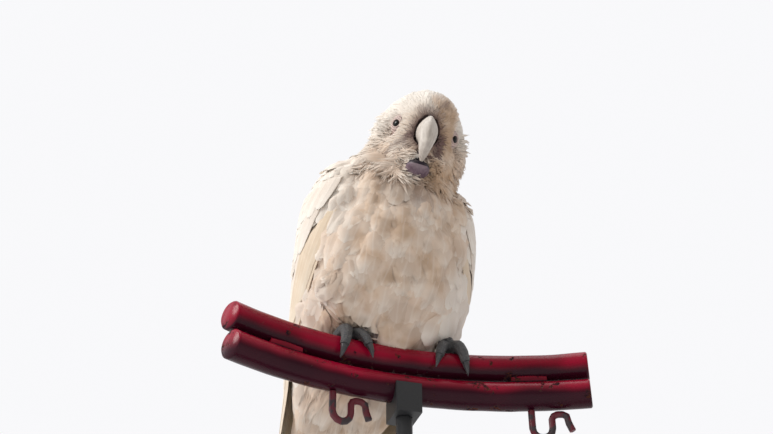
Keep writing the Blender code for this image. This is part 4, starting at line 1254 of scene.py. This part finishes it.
def vanePiece(name, shapes, replaced):
    faces, first = [], 0
    for points, shapeFaces, _ in shapes:
        faces += [tuple(first + k for k in face) for face in shapeFaces]
        first += len(points)
    mesh = meshOf(name, np.concatenate([points for points, _, _ in shapes]), faces)
    for key in shapes[0][2]:
        giveNumbers(mesh, key, np.concatenate([marks[key] for _, _, marks in shapes]))
    piece = newPiece(name, mesh, plumage)
    work = opened(mesh)
    if work.calc_volume(signed=True) < 0:
        bmesh.ops.reverse_faces(work, faces=work.faces)
    closed(work, mesh)
    unwrapVanes(mesh, shapes)
    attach(piece, "root")
    if replaced:
        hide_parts(*replaced)
    print(name, "made:", len(mesh.polygons), "faces")


wingValues = {  # rows of feathers: how many, then heights and shares across at root and tip
    "primaries": dict(count=9, width=12.0, roots=(98, 62), rootAcross=(0.0, 0.24), tipAcross=(0.12, 0.6),
                      tips=(-90, -103, -114, -121, -124, -120, -112, -102, -92), low=(-9.5, -8.0),
                      high=(-3.8, -2.6), point=0.9, camber=0.5, yellow=(0.3, 0.6), stain=0.35),
    "secondaries": dict(count=9, width=15.0, roots=(62, 40), rootAcross=(0.16, 0.86),
                        tipAcross=(0.26, 0.9), tips=(-52, -57, -61, -64, -65, -63, -58, -52, -44),
                        low=(-8.0, -8.0), high=(-2.4, -1.8), point=0.5, camber=0.7, yellow=(0.1, 0.6),
                        stain=0.15),
    "tertials": dict(count=4, width=21.0, roots=(66, 62), rootAcross=(0.56, 0.95), tipAcross=(0.62, 0.95),
                     tips=(-66, -56, -42, -28), low=(-8.0, -7.0), high=(-1.4, 0.1), point=0.5,
                     camber=1.1, yellow=(0.04, 0.4), stain=0.12),
    "primaryCoverts": dict(count=5, width=9.0, roots=(104, 88), rootAcross=(0.02, 0.16),
                           tipAcross=(0.06, 0.24), tips=(34, 22, 10, 2, -4), low=(-9.5, -9.0),
                           high=(-2.6, -1.7), point=0.8, camber=0.5, yellow=(0.35, 0.6), stain=0.35),
    "greaterCoverts": dict(count=10, width=12.5, roots=(78, 38), rootAcross=(0.2, 0.97),
                           tipAcross=(0.25, 0.97), tips=(24, 20, 15, 11, 7, 3, -1, -4, -7, -10),
                           low=(-8.0, -7.0), high=(-1.6, -0.8), point=0.5, camber=0.5,
                           yellow=(0.05, 0.4), stain=0.12),
    "medianCoverts": dict(count=12, width=11.5, roots=(104, 66), rootAcross=(0.15, 0.97),
                          tipAcross=(0.19, 0.97), tips=(66, 61, 57, 53, 49, 46, 43, 40, 37, 34, 31, 28),
                          low=(-9.0, -8.0), high=(-1.0, -0.4), point=0.5, camber=0.4, yellow=(0.0, 0.3),
                          stain=0.12),
    "lesserCoverts": dict(count=14, width=10.0, roots=(122, 92), rootAcross=(0.1, 0.97),
                          tipAcross=(0.13, 0.97),
                          tips=(94, 91, 88, 85, 82, 79, 76, 73, 70, 67, 64, 61, 58, 55),
                          low=(-9.5, -8.0), high=(-0.5, -0.1), point=0.5, camber=0.4, yellow=(0.0, 0.3),
                          stain=0.12),
    "scapulars": dict(count=6, width=17.0, roots=(116, 108), rootAcross=(0.6, 1.04),
                      tipAcross=(0.56, 0.98), tips=(72, 60, 48, 38, 28, 20), low=(-9.0, -8.0),
                      high=(0.0, 0.5), point=0.5, camber=0.8, yellow=(0.0, 0.3), stain=0.12),
    "mantle": dict(count=5, width=15.0, roots=(126, 120), rootAcross=(0.62, 1.06), tipAcross=(0.6, 1.0),
                   tips=(100, 92, 84, 77, 71), low=(-9.0, -8.0), high=(0.3, 0.8), point=0.5, camber=0.8,
                   yellow=(0.0, 0.3), stain=0.12),
}


def between(pair, share):
    return pair[0] + (pair[1] - pair[0]) * share


def wingRow(on, count, width, roots, rootAcross, tipAcross, tips, low, high, seed, **shape):
    shapes = []
    pick = random.Random(seed)
    for k in range(count):
        along = k / (count - 1)
        root = (between(roots, along) + pick.uniform(-1.5, 1.5),
                between(rootAcross, along) + pick.uniform(-0.008, 0.008))
        tip = (tips[k] + pick.uniform(-1.5, 1.5),
               between(tipAcross, along) + pick.uniform(-0.012, 0.012))
        shapes.append(vaneShape(on, root, tip, width * pick.uniform(0.95, 1.05), between(low, along),
                                between(high, along), seed * 100 + k, lopsided=0.12, **shape))
    return shapes


def makeWing(name, side):
    on = wingSurface(side)
    blades, cover = [], []
    for k, (row, values) in enumerate(wingValues.items()):
        shapes = wingRow(on, seed=17 * k + (5 if side > 0 else 2), **values)
        (blades if row in ("primaries", "secondaries", "tertials") else cover).extend(shapes)
    vanePiece(f"flightFeathers{name}", blades, [f"flight_feathers_{name.lower()}"])
    vanePiece(f"wingCoverts{name}", cover, [])


makeWing("Right", sides["right"])
makeWing("Left", sides["left"])

tailValues = {  # mm in the trunk
    "pairs": 6,
    "width": 15.0,
    "spread": 3.6,  # from one tip to the next
    "rootSpread": 1.4,
    "tip": -131.5,
    "root": -12,
    "coverts": 9,  # short feathers over the roots
}


def makeTail(values=tailValues):
    on, shapes = tailSurface(), []
    for k in range(values["pairs"] - 1, -1, -1):  # the middle pair lies on top
        for side in (-1, 1):
            out = side * (k + 0.5)
            shapes.append(vaneShape(
                on, (values["root"], out * values["rootSpread"]),
                (values["tip"] + 1.1 * k + 0.4 * side, out * values["spread"]),
                values["width"], 0.2 - 0.55 * k + 0.15 * side, 0.3 - 0.42 * k + 0.15 * side,
                500 + 2 * k + (side > 0), rows=30, camber=0.5, point=0.55, lopsided=0.1 * side,
                yellow=(0.08, 0.7)))
    for k in range(values["coverts"]):
        out = 1.6 * k / (values["coverts"] - 1) - 0.8
        shapes.append(vaneShape(
            on, (values["root"] + 10, 9 * out), (-84 - 9 * (k * 3 % 5) + 20 * out * out, 17 * out),
            values["width"] - 1, -1.5, 2.6 + 0.5 * (k % 3), 540 + k, rows=14, camber=0.9, point=0.6,
            yellow=(0.0, 0.1)))
    vanePiece("tailFeathers", shapes, ["tail"])


makeTail()

crestValues = {  # places along the crown and heights over it, in mm, from the first feather to the last
    "feathers": 13,
    "width": 5.4,
    "roots": (12, -8),
    "tips": (41, 16),
    "low": (-2.4, -1.2),
    "high": (-0.9, 0.0),
}


def makeCrest(values=crestValues):
    on, shapes = crestSurface(), []
    pick = random.Random(77)
    count = values["feathers"]
    for k in range(count):
        share = k / (count - 1)  # the first lie lowest and reach furthest back
        out = (1 if k % 2 else -1) * (0.8 + 4.6 * (1 - abs(2 * share - 1)) * pick.uniform(0.6, 1.0))
        shapes.append(vaneShape(
            on, (between(values["roots"], share), out * 0.8), (between(values["tips"], share), out * 0.9),
            values["width"] * pick.uniform(0.85, 1.1), between(values["low"], share),
            between(values["high"], share), 700 + k, rows=16, camber=0.5, point=1.4,
            yellow=(0.0, 0.35), stain=0.08))
    vanePiece("crestFeathers", shapes, ["crest"])


makeCrest()


# Bill and tongue

billValues = {
    "upper": [  # ridge y and z, cutting edge y and z, half width, in the head, in mm
        (-25, 7, -24, -11.5, 6.4), (-31, 8, -29, -12, 6.7), (-38, 6, -34, -12.2, 6.6),
        (-44.5, 0.5, -38, -13, 6.2), (-48.5, -7.5, -40.2, -15.5, 5.2), (-49.3, -15.5, -41.4, -19, 3.9),
        (-47.3, -22, -42.2, -22.8, 2.6), (-44.6, -26.6, -43.2, -26.2, 1.0),
    ],
    "lower": [
        (-21, -14.2, -22, -26.5, 8.2), (-27, -14.4, -27, -27.6, 8.2), (-32, -15.4, -31.6, -26.6, 7.6),
        (-35.6, -17, -35.4, -24, 6.4), (-37.6, -18.6, -37.8, -21.2, 4.6),
    ],
    "upperKeel": (0.16, 0.32),  # how much the section narrows up to its ridge, evenly and at the top
    "lowerKeel": (-0.12, 0.0),
    "opened": 7.2,  # how far the lower bill hangs
    "flake": 0.12,  # height of the growth layers
}


def makeBill(name, rows, drop, keel, replaced, material, steps=64, around=44):
    phase = np.random.default_rng(9).uniform(0, 6.28, 6)  # of the waves in the growth layers
    points, run, inside = [], [], []
    for i in range(steps):
        share = i / (steps - 1)
        ridgeY, ridgeZ, edgeY, edgeZ, half = catmull(rows, share * (len(rows) - 1))
        ridge, edge = np.array((0, ridgeY, ridgeZ - drop)), np.array((0, edgeY, edgeZ - drop))
        middle, reach = (ridge + edge) / 2, (ridge - edge) / 2
        for k in range(around):
            angle = 2 * math.pi * k / around
            c, s = math.cos(angle), math.sin(angle)
            wave = sum(math.sin(phase[m] + (7 + 5 * m) * share * 2 + (m + 1) * angle) for m in range(6))
            ring = math.sin(share * 85 + 1.6 * math.sin(angle * 2 + phase[0]) + wave)
            flake = billValues["flake"] * (0.3 * wave / 3 + 0.5 * ring * (1 - share))
            width = (half + flake) * c * (1 - keel[0] * s - keel[1] * max(s, 0) ** 2)
            points.append(middle + reach * s * (1 + flake / 12) + np.array((width, 0, 0)))
            run.append(share)
            inside.append(s)
    ends = [tuple(range(around)), tuple(range(steps * around - 1, (steps - 1) * around - 1, -1))]
    mesh = meshOf(name, worldFrom(headFrame, np.array(points)), ringFaces(steps, around) + ends)
    giveNumbers(mesh, "run", run)
    giveNumbers(mesh, "inside", inside)
    piece = newPiece(name, turnedOut(mesh), material)
    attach(piece, "root")
    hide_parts(replaced)


makeBill("upperBill", billValues["upper"], 0.0, billValues["upperKeel"], "bill_upper", billHorn)
makeBill("lowerBill", billValues["lower"], billValues["opened"], billValues["lowerKeel"], "bill_lower",
         lowerBillHorn)
tongue = remeshed("tonguePad", ["tongue"], 0.35, 0.0, 8, tongueFlesh)
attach(tongue, "root")
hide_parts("tongue")
print("bill made")


# Eyes and their bare lids

eyeValues = {
    "radius": 5.4,
    "cornea": 0.055,  # how far it bulges, as a share of the radius
    "gaze": (0.72, -0.69, -0.04),  # out and forward, for the left eye
    "openWide": 29.0,  # degrees from the gaze to each corner
    "openHigh": 25.0,
    "lidThick": 0.75,
    "rings": 4,  # folds round the lids
    "reach": 7.8,  # where the lids join the face
}
work = opened(skinMesh)
ground = BVHTree.FromBMesh(work)  # the skin, for the lids to lie on
work.free()


def eyeAxes(side):
    gaze = turnedFrom(headFrame, unit(np.array((side, 1, 1)) * np.array(eyeValues["gaze"])))
    up = turnedFrom(headFrame, (0, 0, 1))
    up = unit(up - gaze * np.dot(up, gaze))
    x, y, z = skinValues["eyePlace"]
    centre = worldFrom(headFrame, np.array((side * x, y, z)))
    return centre, gaze, np.cross(up, gaze), up


def roundEye(side, name, steps=40, around=48):
    centre, gaze, across, up = eyeAxes(side)
    points, away = [], []
    for i in range(steps + 1):
        angle = math.pi * i / steps
        bulge = 1 + eyeValues["cornea"] * math.exp(-((angle / 0.5) ** 2))
        for k in range(around if 0 < i < steps else 1):
            turn = 2 * math.pi * k / around
            spoke = math.cos(turn) * across + math.sin(turn) * up
            reach = eyeValues["radius"] * bulge * mm
            points.append(centre + reach * (math.cos(angle) * gaze + math.sin(angle) * spoke))
            away.append(angle / 1.05)
    faces = ringFaces(steps - 1, around, first=1)
    last = len(points) - 1
    for k in range(around):  # the two poles
        after = (k + 1) % around
        faces.append((0, 1 + k, 1 + after))
        faces.append((last, last - around + after, last - around + k))
    mesh = meshOf(name, points, faces)
    giveNumbers(mesh, "offGaze", away)
    piece = newPiece(name, mesh, eyeball)
    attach(piece, "root")
    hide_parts("eye_" + name[3:].lower())


def makeLids(side, name, steps=34, around=96):
    centre, gaze, across, up = eyeAxes(side)
    points, fold = [], []
    wide, high = math.radians(eyeValues["openWide"]), math.radians(eyeValues["openHigh"])
    for i in range(steps):
        q = i / (steps - 1)
        for k in range(around):
            turn = 2 * math.pi * k / around
            c, s = math.cos(turn), math.sin(turn)
            corner = (abs(c / wide) ** 1.7 + abs(s / high) ** 1.7) ** (-1 / 1.7)  # the lids' edge
            angle = corner + (math.radians(92) - corner) * max(q - 0.06, 0) / 0.94
            radius = eyeValues["radius"] + 0.1
            radius += eyeValues["lidThick"] * math.sin(min(q / 0.12, 1) * math.pi / 2)
            radius += (eyeValues["reach"] - eyeValues["radius"] - 0.9) * max(q - 0.12, 0) ** 1.5
            crease = math.sin(2 * math.pi * eyeValues["rings"] * q + 0.5 * math.sin(3 * turn))
            crease *= smoothStep(0.1, 0.25, q) * smoothStep(1.0, 0.75, q)
            fine = math.sin(turn * 34 + 5 * q) * 0.05 * smoothStep(0.05, 0.3, q)
            radius += 0.24 * crease + fine
            ray = math.cos(angle) * gaze + math.sin(angle) * (c * across + s * up)
            point = centre + radius * mm * ray
            spot, normal = ground.find_nearest(Vector(point))[:2]
            join = smoothStep(0.45, 1.0, q)
            target = np.array(spot) + np.array(normal) * (0.35 - 0.9 * smoothStep(0.9, 1.0, q)) * mm
            points.append(point * (1 - join) + target * join)
            fold.append(max(0.75 * smoothStep(0.1, 0.0, q), 0.55 * smoothStep(-0.2, -1.0, crease)))
    mesh = meshOf(name, points, ringFaces(steps, around))
    giveNumbers(mesh, "fold", fold)
    piece = newPiece(name, mesh, lidSkin)
    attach(piece, "root")


for word, side in sides.items():
    roundEye(side, "eye" + word.capitalize())
    makeLids(side, "lids" + word.capitalize())
print("eyes made")


# Feet and claws

for word in sides:
    foot = remeshed("foot" + word.capitalize(), ["foot_" + word], 0.5, 0.05, 5, footSkin)
    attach(foot, "root")
    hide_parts("foot_" + word)
    claws = [f"claw_{word}_{k}" for k in range(1, 5)]
    joined = bmesh.new()
    for claw in claws:
        part = remeshed("clawPart", [claw], 0.3, 0.05, 4)
        joined.from_mesh(part.data)
        bpy.data.objects.remove(part)
    mesh = closed(joined, bpy.data.meshes.new("claws"))
    piece = newPiece("claws" + word.capitalize(), mesh, clawHorn)
    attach(piece, "root")
    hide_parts(*claws)
print("feet made")


# Perch: a short cut length of a double rim

perchValues = {
    "radius": 9.0,  # mm
    "halfAngle": 28.0,  # degrees of the ring on each side of the middle
    "centre": -252.0,  # how far in front of the middle the ring has its centre
    "upper": (240.0, 371.0),  # radius of the ring and height of its centre line
    "lower": (237.0, 351.0),
    "chamfer": 0.0035,  # radians of the ring that the bevel of a cut end takes
    "dent": 0.056,
}


def makeRail(name, ringMm, heightMm, replaced, seed, steps=150, around=40):
    pick = np.random.default_rng(seed)
    phase = pick.uniform(0, 6.28, (5, 2))
    half = math.radians(perchValues["halfAngle"])
    rings = [(half * (2 * k / (steps - 1) - 1), 1.0) for k in range(steps)]  # angle, share of the radius
    rings[0], rings[-1] = (-half + perchValues["chamfer"], 1.0), (half - perchValues["chamfer"], 1.0)
    rings = [(-half, 0.0), (-half, 0.9), *rings, (half, 0.9), (half, 0.0)]
    points = []
    for angle, size in rings:
        for k in range(around):
            turn = 2 * math.pi * k / around
            dent = sum(
                math.sin((9 + 13 * m) * angle + phase[m][0]) * math.cos((m % 3) * turn + phase[m][1])
                for m in range(5)
            )
            radius = perchValues["radius"] * size + perchValues["dent"] * dent * (size > 0.95)
            out = ringMm + radius * math.cos(turn)
            points.append((
                out * math.sin(angle),
                out * math.cos(angle) + perchValues["centre"],
                heightMm + radius * math.sin(turn),
            ))
    mesh = meshOf(name, np.array(points) * mm, ringFaces(len(rings), around))
    piece = newPiece(name, turnedOut(mesh, merge=True), railEnamel)
    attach(piece, "root")
    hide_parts(replaced)


makeRail("upperRail", *perchValues["upper"], "perch_rail_upper", 4)
makeRail("lowerRail", *perchValues["lower"], "perch_rail_lower", 6)
for word in sides:
    weld = remeshed("weld" + word.capitalize(), ["perch_weld_" + word], 0.5, 0.1, 8, railEnamel)
    hook = remeshed("hook" + word.capitalize(), ["perch_hook_" + word], 0.45, 0.05, 6, hookSteel)
    for piece, node, slot in ((weld, "perch_weld_", "rail_paint"), (hook, "perch_hook_", "hook_steel")):
        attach(piece, "root")
        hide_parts(node + word)
print("perch made")


# Display stand

standValues = {  # how far forward each axis stands, in metres, then radii and heights in mm
    "Base": (0.0, [(0, 0), (109.0, 0), (110.0, 1.0), (110.0, 10.2), (109.4, 11.5), (108.0, 12.0),
                   (0, 12.0)]),
    "Collar": (-0.015, [(5.4, 12.3), (16.4, 12.3), (17.0, 12.9), (17.0, 16.4), (16.2, 17.4),
                        (12.6, 22.6), (11.4, 23.4), (9.4, 24.0), (5.4, 24.0)]),
    "Rod": (-0.015, [(0, 24.4), (5.0, 24.4), (5.0, 331.4), (4.5, 331.9), (0, 331.9)]),
}


def makeTurned(name, y, outline, replaced, steps=128):
    work = bmesh.new()
    verts = [work.verts.new((r * mm, y, z * mm)) for r, z in outline]
    edges = [work.edges.new(pair) for pair in zip(verts, verts[1:])]
    bmesh.ops.spin(work, geom=verts + edges, cent=(0, y, 0), axis=(0, 0, 1), angle=2 * math.pi,
                   steps=steps, use_duplicate=False)
    mesh = turnedOut(closed(work, bpy.data.meshes.new(name)), merge=True)
    piece = newPiece(name, mesh, standPaint)
    piece.modifiers.new("edges", "EDGE_SPLIT").split_angle = math.radians(40)
    settled(piece)
    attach(piece, "root")
    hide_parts(replaced)


for word, (y, outline) in standValues.items():
    makeTurned("stand" + word, y, outline, "stand_" + word.lower())
saddle = nodes["stand_saddle"]
saddle.data.materials.clear()
saddle.data.materials.append(standPaint)
print("stand made")


# Camera, light and floor

cameraValues = {
    "place": (-0.184, -0.6067, 0.0395),  # metres, low and a little to the bird's right
    "looks": (0.2288, 0.7824, 0.5793),
    "lens": 52.57,
    "sensor": 36.0,
}


def setCamera(values=cameraValues):
    lens = bpy.data.cameras.new("camera")
    lens.lens = values["lens"]
    lens.sensor_width = values["sensor"]
    lens.clip_start = 0.01
    camera = bpy.data.objects.new("camera", lens)
    aim = Vector(values["looks"]).to_track_quat("-Z", "Y").to_matrix().to_4x4()
    camera.matrix_world = Matrix.Translation(values["place"]) @ aim
    scene.collection.objects.link(camera)
    scene.camera = camera


lightValues = {  # place, target, size in metres, watts, colour
    "skyAbove": ((-0.1, -0.05, 1.5), (0, 0.0, 0.45), 0.8, 2.8, "#ffffff"),
    "keyLeft": ((-1.25, -0.1, 1.2), (0, 0.0, 0.45), 0.6, 12.0, "#fffdf8"),
}


skyLook = {"front": "#f5efe9", "behind": "#fcfcfe", "dim": 0.42, "bright": 0.97}


def setLights(values=lightValues, look=skyLook):
    for name, (place, target, size, watts, color) in values.items():
        lamp = bpy.data.lights.new(name, "AREA")
        lamp.shape = "DISK"
        lamp.energy = watts
        lamp.size = size
        lamp.color = hexColor(color)[:3]
        light = bpy.data.objects.new(name, lamp)
        aim = (Vector(target) - Vector(place)).to_track_quat("-Z", "Y").to_matrix().to_4x4()
        light.matrix_world = Matrix.Translation(place) @ aim
        scene.collection.objects.link(light)
    world = bpy.data.worlds.new("paleStudio")
    world.use_nodes = True
    add = partial(addNode, world.node_tree)  # bright behind and above the bird, dimmer in front of it
    facing = add("ShaderNodeTexCoord", out="Generated")
    height = add("ShaderNodeVectorMath", (facing, (-0.3, 0.65, 0.7)), out=1, operation="DOT_PRODUCT")
    glow = add("ShaderNodeMapRange", (height, -0.6, 0.5), **smooth)
    color = add("ShaderNodeMix", {0: glow, 6: look["front"], 7: look["behind"]}, **blend)
    strength = add("ShaderNodeMapRange", (glow, 0.0, 1.0, look["dim"], look["bright"]))
    sky = add("ShaderNodeBackground", (color, strength))
    world.node_tree.links.new(sky, world.node_tree.nodes["World Output"].inputs[0])
    scene.world = world


floorLook = {"dark": "#dcdcdc", "light": "#e4e4e3", "cloud": 166.7}


def makeFloor(look=floorLook):  # matt pale board with the faintest cloud of tone
    material, add = newMaterial("paleMattFloor")
    place = add("ShaderNodeTexCoord", out="Object")
    cloud = add("ShaderNodeTexNoise", {"Vector": place, "Scale": every(look["cloud"]), "Detail": 2.0})
    color = add("ShaderNodeMix", {0: cloud, 6: look["dark"], 7: look["light"]}, **blend)
    surface = add("ShaderNodeBsdfPrincipled", {"Base Color": color, "Roughness": 0.85})
    add("ShaderNodeOutputMaterial", (surface,))
    work = bmesh.new()
    bmesh.ops.create_grid(work, x_segments=8, y_segments=8, size=3.0)
    newPiece("floor", closed(work, bpy.data.meshes.new("floor")), material)


setCamera()
setLights()
makeFloor()
scene.view_settings.view_transform = "Standard"
print("stage set")
